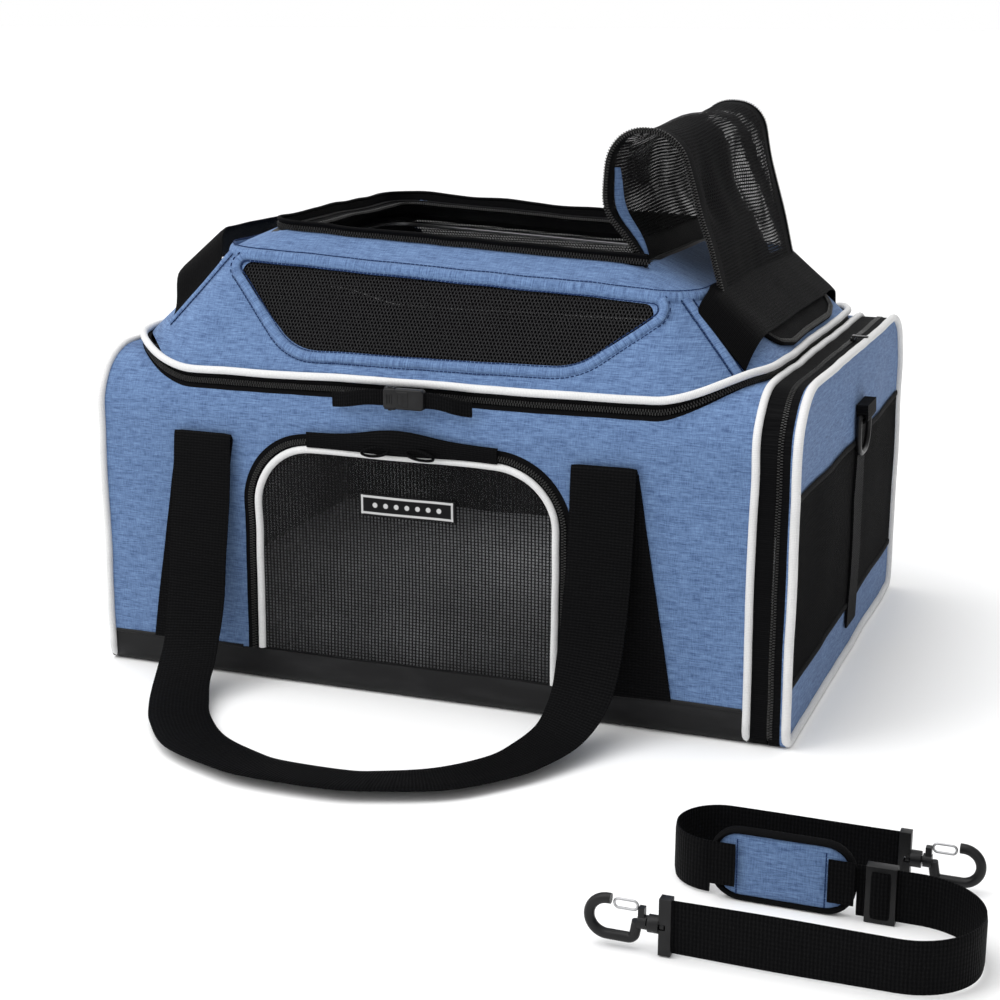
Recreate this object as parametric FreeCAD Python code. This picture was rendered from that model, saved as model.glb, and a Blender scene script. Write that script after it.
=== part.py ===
import FreeCAD, Part
import math
import os

# Soft-sided pet carrier with a zip-off domed lid, a mesh front door, a zipped end door,
# two webbing carry handles and a detachable padded shoulder strap.
# Frame: origin at the middle of the bag's underside, +X along its length towards the
# zipped end door, the front door faces -Y, +Z up. Millimetres.

V = FreeCAD.Vector
X = V(1, 0, 0)
Y = V(0, 1, 0)
Z = V(0, 0, 1)

# ---- driving dimensions --------------------------------------------------------------
body_length = 412.0  # main shell, left end to the end-door frame
end_door_depth = 20.0  # depth of the zipped end door and its frame
body_width = 330.0
body_height = 198.0
shoulder_radius = 38.0  # rounding along the top of both long sides
foot_radius = 6.0
shell = 3.0  # padded fabric wall
base_band_height = 20.0

lid_inset = 7.0  # the lid's footprint stands in from the shell on all sides
lid_corner_radius = 55.0
lid_gap = 0.6  # between the body's zip tape and the lid's
lid_zip_rise = 3.8  # height of the lid's half of the zip over the body
lid_wall = 3.0
lid_open = 2.0  # width of the body's half of the zip in plan

ridge_height = 249.0
ridge_end_setback = 49.0  # the ridge stands in from the lid's rim at both ends
ridge_side_setback = 33.0
ridge_radius = 25.0
ridge_shift = 8.0  # the ridge sits towards the end door
dome_tilt = 2.77  # degrees, the dome sinks towards the end door
dome_foot_height = 170.0
dome_foot_grow_x = 90.0
dome_foot_grow_y = 46.0
dome_foot_radius = 95.0
crown_rise = 13.0
crown_end_setback = 28.0  # the crown round the top opening stands in from the ridge
crown_side_setback = 27.0
top_opening_radius = 22.0
opening_lip = 4.0
opening_tape = 8.0

piping = 4.2  # diameter of the piping cord with its cover
zip_width = 3.4  # one half of a zip, tape and coil
zip_gap = 0.5
tape_thickness = 2.0

door_width = 207.0
door_top = 157.0
door_radius = 45.0
door_centre_x = -13.5
door_hinge_gap = 1.0
mesh_thickness = 0.8
cover_flap_length = 120.0
cover_flap_height = 10.0
label_length = 61.0
label_height = 13.0

webbing_width = 38.0
webbing_thickness = 1.8
handle_spacing = 252.0
handle_centre_x = -16.0
handle_top = 150.0
anchor_lean = 22.0  # the anchor webbing's foot stands this much further out
handle_gap = 0.3  # between a handle's fold and its anchor webbing

window_end_setback = 8.0  # from the ridge's end to the window's upper corner
window_foot = 204.0
window_side = 56.0
window_radius = 40.0

flap_width = 184.0
flap_thickness = 1.8
flap_height = 336.0
band_width = 38.0
band_thickness = 1.6
band_rise = 4.0  # room under the right band for the rolled-back flap

board_thickness = 3.0
mat_thickness = 26.0
inner_clearance = 1.0
frame_wire_radius = 1.75

pocket_low = 35.0
pocket_high = 141.0
ring_strip_width = 28.0
ring_strip_y = 14.0
ring_rod_radius = 1.8
ring_width = 30.0
ring_drop = 24.0
ring_height = 156.0
ring_clearance = 0.35

buckle_x = -8.0
buckle_z = 183.0
buckle_height = 12.0
buckle_depth = 6.0
buckle_fit = 0.35
buckle_strap_width = 8.0

strap_width = 25.0
strap_thickness = 1.6
strap_pad_length = 68.0
strap_pad_width = 36.0
strap_pad_thickness = 7.0
strap_rest = 1.5  # the webbing stands this far over the floor
strap_left = 222.0
strap_right = 318.0
strap_back_end = 302.0
strap_front = -414.0
strap_turn_radius = 32.0
strap_back_turn_radius = 21.0
adjuster_length = 14.0
hook_radius = 8.5
hook_rod = 2.4
hook_length = 14.0
gate_gap = 0.4  # between the gate's root and the hook
tip_gap = 1.3  # between the gate's end and the hook's tip

# ---- values worked out from them -----------------------------------------------------
body_left = -(body_length + end_door_depth) / 2.0
body_right = body_left + body_length
door_face = body_right + end_door_depth
half_width = body_width / 2.0
shell_centre = (body_left + body_right) / 2.0
lid_half_x = body_length / 2.0 - lid_inset
lid_half_y = half_width - lid_inset
ridge_centre = shell_centre + ridge_shift
ridge_half_length = lid_half_x - ridge_end_setback
ridge_half_width = lid_half_y - ridge_side_setback
top_opening_half_length = ridge_half_length - crown_end_setback
top_opening_half_width = ridge_half_width - crown_side_setback
window_half_length = ridge_half_length - window_end_setback
door_foot = base_band_height + door_hinge_gap
far = 1000.0


# ---- drawing helpers -----------------------------------------------------------------
def corner_arc(before, here, after, radius):
    """Start, middle and end of the arc that rounds a corner."""
    back = (before - here).normalize()
    on = (after - here).normalize()
    half = back.getAngle(on) / 2.0
    reach = radius / math.tan(half)
    middle = here + (back + on).normalize() * (radius / math.sin(half) - radius)
    return here + back * reach, middle, here + on * reach


def rounded(points, radii, closed=True):
    """Wire through the points with each corner rounded by its own radius."""
    count = len(points)
    edges = []
    first = None
    last = None
    for i, here in enumerate(points):
        end_point = not closed and i in (0, count - 1)
        if radii[i] > 0 and not end_point:
            start, middle, end = corner_arc(points[i - 1], here, points[(i + 1) % count], radii[i])
        else:
            start, middle, end = here, None, here
        if last is not None and last.distanceToPoint(start) > 1e-6:
            edges.append(Part.makeLine(last, start))
        if middle is not None:
            edges.append(Part.Arc(start, middle, end).toShape())
        first = first or start
        last = end
    if closed and last.distanceToPoint(first) > 1e-6:
        edges.append(Part.makeLine(last, first))
    return Part.Wire(edges)


def prism(wire, vector):
    return Part.Face(wire).extrude(vector)


def box(low, high):
    size = V(*high) - V(*low)
    return Part.makeBox(size.x, size.y, size.z, V(*low))


def plan_wire(centre_x, half_x, half_y, radius, z):
    corners = [V(centre_x + a * half_x, b * half_y, z) for a, b in ((-1, -1), (1, -1), (1, 1), (-1, 1))]
    return rounded(corners, [radius] * 4)


def plan_block(centre_x, half_x, half_y, radius, low, high):
    return prism(plan_wire(centre_x, half_x, half_y, radius, low), Z * (high - low))


def end_block(offset, x0, x1):
    """The carrier's end outline, grown or shrunk by an offset, as a block along X."""
    y = half_width + offset
    low = max(0.0, -offset)
    high = body_height + offset
    corners = [V(x0, -y, low), V(x0, y, low), V(x0, y, high), V(x0, -y, high)]
    foot = max(foot_radius + offset, 1.0)
    top = shoulder_radius + offset
    return prism(rounded(corners, [foot, foot, top, top]), X * (x1 - x0))


def end_ring(outer, inner, x0, x1):
    return end_block(outer, x0, x1).cut(end_block(inner, x0 - 1, x1 + 1))


def end_piping(x0):
    """Piping round an end outline, down to where its foot starts to round."""
    ring = end_ring(piping / 2, 0.0, x0, x0 + piping)
    return ring.common(box((-far, -far, foot_radius + piping / 2), (far, far, far)))


def lid_column(offset):
    """Upright column over the lid's footprint."""
    radius = lid_corner_radius + offset
    return plan_block(shell_centre, lid_half_x + offset, lid_half_y + offset, radius, 100.0, 400.0)


def door_column(offset, y0, y1):
    """The front door's arch, shrunk by an offset, as a block along Y."""
    half = door_width / 2.0 - offset
    top = door_top - offset
    left = door_centre_x - half
    right = door_centre_x + half
    corners = [V(left, y0, -50), V(right, y0, -50), V(right, y0, top), V(left, y0, top)]
    return prism(rounded(corners, [0, 0, door_radius - offset, door_radius - offset]), Y * (y1 - y0))


def tilted(shape):
    copy = shape.copy()
    copy.rotate(V(ridge_centre, 0, ridge_height), Y, dome_tilt)
    return copy


def dome(offset):
    """Solid under the lid's hipped dome, its surface moved outwards by an offset."""
    rise = 0.9 * offset
    height = ridge_height - dome_foot_height
    lean_x = dome_foot_grow_x / height
    lean_y = dome_foot_grow_y / height
    grow_x = offset * math.hypot(1, lean_x)
    grow_y = offset * math.hypot(1, lean_y)
    foot = plan_wire(
        shell_centre,
        ridge_half_length + dome_foot_grow_x + grow_x,
        ridge_half_width + dome_foot_grow_y + grow_y,
        dome_foot_radius,
        dome_foot_height,
    )
    ridge = plan_wire(
        ridge_centre,
        ridge_half_length + grow_x - lean_x * rise,
        ridge_half_width + grow_y - lean_y * rise,
        ridge_radius,
        ridge_height + rise,
    )
    crown = plan_wire(
        shell_centre,
        top_opening_half_length,
        top_opening_half_width,
        top_opening_radius,
        ridge_height + crown_rise + offset,
    )
    return Part.makeLoft([foot, tilted(ridge), tilted(crown)], True, True)


def rod(path, radius):
    """Round rod along a path of lines and tangent arcs."""
    edge = path.OrderedEdges[0]
    start = edge.valueAt(edge.FirstParameter)
    along = edge.tangentAt(edge.FirstParameter)
    circle = Part.Wire([Part.makeCircle(radius, start, along)])
    return Part.Wire(path.OrderedEdges).makePipeShell([circle], True, False)


def ribbon(stations, thickness):
    """Flat band through stations, each a pair of edge points; the band is centred on them."""
    middles = [(a + b) * 0.5 for a, b in stations]
    sections = []
    for i, (a, b) in enumerate(stations):
        along = middles[min(i + 1, len(middles) - 1)] - middles[max(i - 1, 0)]
        normal = along.cross(b - a).normalize() * (thickness / 2.0)
        corners = [a + normal, b + normal, b - normal, a - normal]
        sections.append(Part.makePolygon(corners + corners[:1]))
    return Part.makeLoft(sections, True, True)


def band_along(points, radii, thickness, low, high):
    """Flat band standing on edge along a plan route."""
    route = rounded(points, radii, closed=False)
    start = points[0]
    side = (points[1] - points[0]).normalize().cross(Z) * (thickness / 2.0)
    foot = Z * low
    top = Z * high
    corners = [start + side + foot, start - side + foot, start - side + top, start + side + top]
    profile = Part.makePolygon(corners + corners[:1])
    return route.makePipeShell([profile], True, False)


def mirrored_y(shape):
    return shape.mirror(V(0, 0, 0), Y)


# ---- carrier body --------------------------------------------------------------------
def body_tube():
    return end_ring(0.0, -shell, body_left, body_right)


def base_tray():
    low = box((-far, -far, -1), (far, far, base_band_height))
    left_wall = end_block(0.0, body_left, body_left + shell)
    return body_tube().fuse(left_wall).common(low).removeSplitter()


def long_panel(side):
    """Front (-1) or back (+1) panel with its shoulder, up to the lid's zip."""
    half = box((-far, 0, base_band_height), (far, far, far))
    if side < 0:
        half = mirrored_y(half)
    left_wall = end_block(far, body_left - 1, body_left + shell)
    panel = body_tube().common(half).cut(left_wall).cut(lid_column(lid_open))
    if side < 0:
        panel = panel.cut(door_column(0.0, -half_width - 10, -half_width + 10))
    return panel


def left_end_panel():
    panel = end_block(0.0, body_left, body_left + shell)
    return panel.common(box((-far, -far, base_band_height), (far, far, far)))


def body_lid_zip_tape():
    ring = body_tube().cut(end_block(far, body_left - 1, body_left + shell))
    return ring.common(lid_column(lid_open)).cut(lid_column(0.0))


def end_pipings():
    return Part.makeCompound([end_piping(body_left), end_piping(body_right - piping)])


def end_frame_zip_tape():
    return end_ring(0.0, -shell, body_right, body_right + end_door_depth / 2 - zip_gap)


def end_frame_wires():
    inset = shell + frame_wire_radius + inner_clearance
    hoops = []
    for x in (body_left + 3 * shell, body_right - 2 * shell):
        y = half_width - inset
        low = base_band_height
        corners = [V(x, -y, low), V(x, -y, body_height - inset), V(x, y, body_height - inset), V(x, y, low)]
        bend = shoulder_radius - inset
        hoops.append(rod(rounded(corners, [0, bend, bend, 0], closed=False), frame_wire_radius))
    return Part.makeCompound(hoops)


def inner_plate(low, high, gap):
    left = body_left + shell + gap
    right = body_right - gap
    half_y = half_width - shell - gap
    return plan_block((left + right) / 2, (right - left) / 2, half_y, 12.0, low, high)


def base_board():
    gap = foot_radius - shell + inner_clearance
    return inner_plate(shell, shell + board_thickness, gap)


def base_mat():
    low = shell + board_thickness
    gap = shell + 2 * frame_wire_radius + 3 * inner_clearance
    mat = inner_plate(low, low + mat_thickness, gap)
    rim = [e for e in mat.Edges if e.BoundBox.ZMin > low + mat_thickness - 0.1]
    return mat.makeFillet(8.0, rim)


def front_frame_zip_tape():
    y0 = -half_width - 0.4
    ring = door_column(0.0, y0, y0 + tape_thickness)
    ring = ring.cut(door_column(zip_width, y0 - 1, y0 + tape_thickness + 1))
    return ring.common(box((-far, -far, base_band_height), (far, far, far)))


def anchor_strip(side, face):
    """Webbing sewn flat on a long panel, from the base band up to a handle's fold."""
    top_x = handle_centre_x + side * handle_spacing / 2
    foot_x = top_x + side * anchor_lean
    y = face * half_width
    half = webbing_width / 2
    corners = [
        V(foot_x - half, y, base_band_height),
        V(foot_x + half, y, base_band_height),
        V(top_x + half, y, handle_top),
        V(top_x - half, y, handle_top),
    ]
    return prism(Part.makePolygon(corners + corners[:1]), Y * face * webbing_thickness)


def handle_anchors():
    return Part.makeCompound([anchor_strip(side, face) for face in (-1, 1) for side in (-1, 1)])


# ---- carry handles -------------------------------------------------------------------
def handle():
    """Front carry handle: two hanging legs and a crossing that lies on the ground."""
    axis_y = -half_width - 1.5 * webbing_thickness - handle_gap
    half = handle_spacing / 2
    w = webbing_width / 2
    drop = handle_top / 150.0
    rows = [
        ((half + w, 0, 150), (half - w, 0, 150)),
        ((half + w, -8, 100), (half - w, -8, 100)),
        ((half + w - 1, -16, 60), (half - w - 1, -15, 60)),
        ((half + w - 4, -30, 28), (half - w - 1, -26, 32)),
        ((half + w - 13, -60, 11), (half - w - 5, -45, 14)),
        ((half + w - 33, -98, 7), (half - w - 21, -74, 5)),
        ((half + w - 61, -128, 8), (half - w - 43, -96, 3)),
        ((half + w - 101, -145, 8), (half - w - 71, -109, 2)),
        ((0, -152, 8), (0, -115, 2)),
    ]
    right = []
    for outer, inner in rows:
        a = V(handle_centre_x + outer[0], axis_y + outer[1] * drop, outer[2] * drop)
        b = V(handle_centre_x + inner[0], axis_y + inner[1] * drop, inner[2] * drop)
        right.append((a, b))
    left = []
    for a, b in reversed(right[:-1]):
        mirror_x = 2 * handle_centre_x
        left.append((V(mirror_x - a.x, a.y, a.z), V(mirror_x - b.x, b.y, b.z)))
    band = ribbon(right + left, webbing_thickness)
    for side in (-1, 1):
        x = handle_centre_x + side * half - w
        roll = Part.makeCylinder(webbing_thickness * 0.6, webbing_width, V(x, axis_y, handle_top), X)
        band = band.fuse(roll)
    return band


# ---- lid -----------------------------------------------------------------------------
def lid_shell():
    """The whole fabric dome before it is divided into panels."""
    outer = dome(0.0).common(lid_column(0.0))
    inner = dome(-lid_wall).common(lid_column(-lid_wall))
    opening = plan_block(
        shell_centre,
        top_opening_half_length - opening_lip,
        top_opening_half_width - opening_lip,
        top_opening_radius - opening_lip,
        200.0,
        400.0,
    )
    return outer.cut(inner).cut(tilted(opening)).cut(end_block(lid_gap + lid_zip_rise, -far, far))


def above_ridge():
    return tilted(box((-far, -far, ridge_height), (far, far, far)))


def hip_points():
    """Where the right hip seam starts on the ridge and where it meets the rim, in front."""
    bevel = ridge_radius * (1 - math.sqrt(0.5))
    start = V(ridge_centre + ridge_half_length - bevel, -(ridge_half_width - bevel), 0)
    angle = math.radians(33)
    end = V(
        shell_centre + lid_half_x - lid_corner_radius * (1 - math.cos(angle)),
        -(lid_half_y - lid_corner_radius * (1 - math.sin(angle))),
        0,
    )
    return start, end


def front_wedge():
    """Everything in front of both hip seams."""
    start, end = hip_points()
    out = start + (end - start) * 10
    span = 2 * ridge_centre
    corners = [
        start,
        out,
        V(out.x, -far, 0),
        V(span - out.x, -far, 0),
        V(span - out.x, out.y, 0),
        V(span - start.x, start.y, 0),
    ]
    return prism(Part.makePolygon(corners + corners[:1]), Z * far)


def window_column():
    """Half-moon window, level along the ridge and bowed below, as a block along Y."""
    left = ridge_centre - window_half_length
    right = ridge_centre + window_half_length
    top = ridge_height - 4.0
    lean = math.tan(math.radians(dome_tilt)) * window_half_length
    corners = [
        V(left, 0, top + lean),
        V(right, 0, top - lean),
        V(right - window_side, 0, window_foot),
        V(left + window_side, 0, window_foot),
    ]
    return prism(rounded(corners, [6, 6, window_radius, window_radius]), Y * -far)


def lid_panels():
    skirt = lid_shell().cut(above_ridge())
    front = skirt.common(front_wedge())
    back = skirt.common(mirrored_y(front_wedge()))
    ends = skirt.cut(front_wedge()).cut(mirrored_y(front_wedge()))
    right = ends.common(box((0, -far, 0), (far, far, far)))
    left = ends.common(box((-far, -far, 0), (0, far, far)))
    window = window_column()
    return {
        "lid_front_slope": front.cut(window),
        "lid_back_slope": back.cut(mirrored_y(window)),
        "lid_right_slope": right,
        "lid_left_slope": left,
        "lid_top_frame": lid_shell().common(above_ridge()),
    }


def lid_mesh_windows():
    pane = dome(-lid_wall / 3).cut(dome(-lid_wall / 3 - mesh_thickness))
    front = pane.common(window_column()).common(lid_column(-lid_wall))
    return Part.makeCompound([front, mirrored_y(front)])


def lid_piping():
    low = lid_gap + lid_zip_rise
    width = piping * 0.7
    ring = lid_column(width).cut(lid_column(0.0))
    return ring.common(end_block(low + width, -far, far)).cut(end_block(low, -far, far))


def lid_zip_tape():
    ring = lid_column(0.0).cut(lid_column(-lid_wall))
    ring = ring.common(end_block(lid_gap + lid_zip_rise, -far, far))
    return ring.cut(end_block(lid_gap, -far, far))


def opening_ring(outer, inner, low, high):
    """Level ring round the top opening, tilted with the dome."""
    base = ridge_height + crown_rise
    rings = []
    for grow in (outer, inner):
        rings.append(
            plan_block(
                shell_centre,
                top_opening_half_length + grow,
                top_opening_half_width + grow,
                top_opening_radius + grow,
                base + low,
                base + high,
            )
        )
    return tilted(rings[0].cut(rings[1]))


def top_opening_zip_tape():
    return opening_ring(-opening_lip - 0.2, -opening_lip - opening_tape, -2.6, -0.8)


def lid_frame_wire():
    inset = lid_wall + 2 * frame_wire_radius
    path = plan_wire(
        ridge_centre, ridge_half_length - inset, ridge_half_width - inset, ridge_radius - inset, ridge_height - inset
    )
    return rod(tilted(path), frame_wire_radius)


def slope_point(x, lift):
    """Point of the right slope's centre line at a given x, lifted off its surface."""
    pane = dome(lift).common(box((x - 0.01, -1, 0), (x, 1, far)))
    return V(x, 0, pane.BoundBox.ZMax)


def flap_path():
    """Side outline of the rolled-back top flap: up, over and down under the right band."""
    hinge = V(shell_centre + top_opening_half_length - 1.0, 0, 0)
    hinge.z = slope_point(hinge.x, 1.6).z
    on_slope = slope_point(ridge_centre + ridge_half_length + 6.0, 1.6)
    tongue = slope_point(shell_centre + lid_half_x - 8.0, 1.6)
    points = [
        hinge,
        V(hinge.x - 28.0, 0, hinge.z + 32.0),
        V(hinge.x - 22.0, 0, flap_height + 2.0),
        V(hinge.x + 22.0, 0, flap_height),
        on_slope,
        tongue,
    ]
    return points, [0, 30.0, 21.0, 20.0, 9.0, 0]


def flap_sheet(y0, y1):
    points, bends = flap_path()
    route = rounded(points, bends, closed=False)
    along = (points[1] - points[0]).normalize()
    side = along.cross(Y) * (flap_thickness / 2)
    start = points[0]
    corners = [start + side + Y * y0, start - side + Y * y0, start - side + Y * y1, start + side + Y * y1]
    return route.makePipeShell([Part.makePolygon(corners + corners[:1])], True, False)


def tongue_cut():
    """Rounds the flap's free end in plan."""
    points, _ = flap_path()
    end = points[-1].x
    half = flap_width / 2
    corners = [V(-far, -half, 0), V(end, -half, 0), V(end, half, 0), V(-far, half, 0)]
    return prism(rounded(corners, [0, 40, 40, 0]), Z * far)


def top_flap():
    edge = zip_width * 2
    return flap_sheet(-flap_width / 2 + edge, flap_width / 2 - edge).common(tongue_cut())


def top_flap_zip_edge():
    edge = zip_width * 2
    half = flap_width / 2
    front = flap_sheet(-half, -half + edge)
    back = flap_sheet(half - edge, half)
    return Part.makeCompound([front.common(tongue_cut()), back.common(tongue_cut())])


def elastic_band(low_x, high_x, lift):
    """Wide elastic band across an end slope, sewn down at both hips."""
    slab = box((min(low_x, high_x), -far, 100), (max(low_x, high_x), far, far))
    reach = ridge_half_width - 2.0
    between = box((-far, -reach, 0), (far, reach, far))
    over = dome(lift + band_thickness).cut(dome(lift)).common(slab).common(between)
    ends = dome(lift + band_thickness).cut(dome(0.0)).common(slab)
    ends = ends.common(box((-far, -reach - 5, 0), (far, reach + 5, far))).cut(between)
    return over.fuse(ends).removeSplitter()


def lid_elastic_bands():
    plan_width = band_width * 0.66
    right = ridge_centre + ridge_half_length + 3.0
    left = ridge_centre - ridge_half_length - 3.0
    on_flap = elastic_band(right, right + plan_width, band_rise)
    spare = elastic_band(left - plan_width, left, 1.0)
    return Part.makeCompound([on_flap, spare])


# ---- front door ----------------------------------------------------------------------
def door_ring(outer, inner, y0, y1):
    ring = door_column(outer, y0, y1).cut(door_column(inner, y0 - 1, y1 + 1))
    return ring.common(box((-far, -far, door_foot), (far, far, far)))


def front_door_zip_tape():
    y0 = -half_width - 0.4
    outer = zip_width + zip_gap
    return door_ring(outer, outer + zip_width, y0, y0 + tape_thickness)


def front_door_piping():
    outer = 2 * zip_width + zip_gap
    y0 = -half_width - piping / 2
    return door_ring(outer, outer + piping, y0, y0 + piping)


def front_door_mesh():
    inner = 2 * zip_width + zip_gap + piping
    y0 = -half_width + 0.2
    pane = door_column(inner, y0, y0 + mesh_thickness)
    return pane.common(box((-far, -far, door_foot), (far, far, far)))


def door_zip_cover():
    """Flap over the top of the door's zip, sewn to the door's tape at both ends."""
    half = cover_flap_length / 2
    low = door_top - zip_width - cover_flap_height + 5.0
    y_tape = -half_width - 0.4
    front = y_tape - 6.6
    plate = box((door_centre_x - half, front, low), (door_centre_x + half, front + 1.3, low + cover_flap_height))
    tape_low = door_top - 2 * zip_width - zip_gap
    for side in (-1, 1):
        x = door_centre_x + side * (half - 3.5)
        foot = box((x - 3.5, front, tape_low + 0.2), (x + 3.5, y_tape, tape_low + zip_width - 0.2))
        plate = plate.fuse(foot)
    return plate.removeSplitter()


def label_patch():
    y = -half_width + 0.2
    z = 117.5
    x = door_centre_x + 3.0
    half = label_length / 2
    low = (x - half, y - 1.0, z - label_height / 2)
    return box(low, (x + half, y, z + label_height / 2))


# ---- zip sliders ---------------------------------------------------------------------
def slider(pull_length):
    """Zip slider facing -Y with its pull hanging down, its back on the plane y = 0."""
    body = box((-4.5, -2.2, -1.3), (4.5, 0, 1.3))
    bridge = box((-2.6, -3.4, -0.9), (2.6, -2.2, 0.9))
    pull = box((-1.8, -3.2, -pull_length), (1.8, -2.3, -0.5))
    return body.fuse(bridge).fuse(pull).removeSplitter()


def placed(shape, turns, position):
    copy = shape.copy()
    for axis, degrees in turns:
        copy.rotate(V(0, 0, 0), axis, degrees)
    copy.translate(position)
    return copy


def zip_sliders():
    door_y = -half_width - 0.4 - 0.3
    door_z = door_top - zip_gap - 1.5 * zip_width
    lid_y = -lid_half_y - 0.3
    lid_z = rim_height() + lid_gap + lid_zip_rise / 2
    end_x = body_right + end_door_depth / 2 + zip_gap + 2.2
    end_z = body_height + 0.3
    top_z = ridge_height + crown_rise - 0.8 + 0.3
    out = {}
    for name, side in (("left", -1), ("right", 1)):
        out["door_slider_" + name] = placed(slider(14.0), [], V(door_centre_x + side * 8, door_y, door_z))
        out["lid_slider_" + name] = placed(slider(3.0), [], V(buckle_x + side * 8, lid_y, lid_z))
    out["end_door_slider"] = placed(slider(9.0), [(X, -90), (Z, 90)], V(end_x, 30, end_z))
    for name, side in (("front", -1), ("back", 1)):
        y = side * (top_opening_half_width - opening_lip - 0.2 - opening_tape / 2)
        turns = [(X, -90), (Z, 90 + side * 90)]
        flat = placed(slider(9.0), turns, V(shell_centre + top_opening_half_length - 40, y, top_z))
        out["top_slider_" + name] = tilted(flat)
    return out


def rim_height():
    """Height of the body's surface under the lid's front rim."""
    across = lid_half_y - (half_width - shoulder_radius)
    return body_height - shoulder_radius + math.sqrt(shoulder_radius**2 - across**2)


# ---- end door ------------------------------------------------------------------------
def end_door_zip_tape():
    start = body_right + end_door_depth / 2 + zip_gap
    return end_ring(0.0, -shell, start, door_face - shell)


def end_door_panel():
    return end_block(0.0, door_face - shell, door_face)


def end_door_piping():
    return end_piping(door_face - piping)


def end_pocket():
    band = end_block(-piping, door_face, door_face + 0.8)
    return band.common(box((-far, -far, pocket_low), (far, far, pocket_high)))


def ring_strip(x, side):
    """Upright webbing strip on an end face whose top loops round the ring's bar."""
    y0 = ring_strip_y - ring_strip_width / 2
    y1 = ring_strip_y + ring_strip_width / 2
    low = base_band_height
    high = ring_height + 8.0
    strip = box((x, y0, low), (x + 1.4, y1, high))
    hole = ring_rod_radius + ring_clearance
    centre_x = x + 1.4 + hole + 0.2
    loop = Part.makeCylinder(hole + 1.4, ring_strip_width, V(centre_x, y0, ring_height), Y)
    web = box((x + 1.4, y0, ring_height), (centre_x + hole + 1.4, y1, high))
    bore = Part.makeCylinder(hole, ring_strip_width, V(centre_x, y0, ring_height), Y)
    return strip.fuse(loop).fuse(web).cut(bore).removeSplitter()


def ring(x):
    """D-ring: a straight bar in the strip's loop and a rounded bow hanging below it."""
    centre_x = x + 1.4 + ring_rod_radius + ring_clearance + 0.2
    half = ring_width / 2 + ring_rod_radius
    top = ring_height
    low = top - ring_drop
    corners = [
        V(centre_x, ring_strip_y, top),
        V(centre_x, ring_strip_y + half, top),
        V(centre_x, ring_strip_y + half, low),
        V(centre_x, ring_strip_y - half, low),
        V(centre_x, ring_strip_y - half, top),
    ]
    return rod(rounded(corners, [0, 4, 13, 13, 4]), ring_rod_radius)


def ring_fittings():
    right_x = door_face + 0.8
    strip = ring_strip(right_x, 1)
    bow = ring(right_x)
    flip = V((door_face + body_left) / 2, 0, 0)
    strip_left = ring_strip(door_face, 1).mirror(flip, X)
    bow_left = ring(door_face).mirror(flip, X)
    return {
        "end_ring_strip": strip,
        "end_ring": bow,
        "left_ring_strip": strip_left,
        "left_ring": bow_left,
    }


# ---- side-release buckle -------------------------------------------------------------
def buckle_parts():
    half = buckle_height / 2
    back = -half_width - 1.0
    front = back - buckle_depth
    middle = (front + back) / 2
    socket_left = buckle_x - 14.0
    mouth = buckle_x + 2.0
    pocket = box((socket_left + 2.5, middle - 1.7, buckle_z - half + 1.8), (mouth + 1, middle + 1.7, buckle_z + half - 1.8))
    socket = box((socket_left, front, buckle_z - half), (mouth, back, buckle_z + half)).cut(pocket)
    plug = box((mouth + buckle_fit, front, buckle_z - half), (mouth + 9.0, back, buckle_z + half))
    for side in (-1, 1):
        z = buckle_z + side * (half - 1.8 - buckle_fit - 1.0)
        prong = box((mouth - 9.0, middle - 1.7 + buckle_fit, z - 1.0), (mouth + 1.0, middle + 1.7 - buckle_fit, z + 1.0))
        plug = plug.fuse(prong)
    strap_half = buckle_strap_width / 2
    strap_y = middle - 0.6
    left = box((socket_left - 34.0, strap_y, buckle_z - strap_half), (socket_left, strap_y + 1.2, buckle_z + strap_half))
    foot = box((socket_left - 34.0, strap_y, buckle_z - strap_half), (socket_left - 26.0, -half_width, buckle_z - 2.0))
    right = box((mouth + 9.0, strap_y, buckle_z - strap_half), (mouth + 37.0, strap_y + 1.2, buckle_z + strap_half))
    return {
        "buckle_socket": socket,
        "buckle_plug": plug.removeSplitter(),
        "buckle_strap_left": left.fuse(foot).removeSplitter(),
        "buckle_strap_right": right,
    }


# ---- shoulder strap ------------------------------------------------------------------
def strap_rows():
    """Depths (y) of the strap's three legs on the ground, front to back."""
    front = strap_front
    middle = front + 2 * strap_turn_radius
    back = middle + 2 * strap_back_turn_radius
    return front, middle, back


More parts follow.
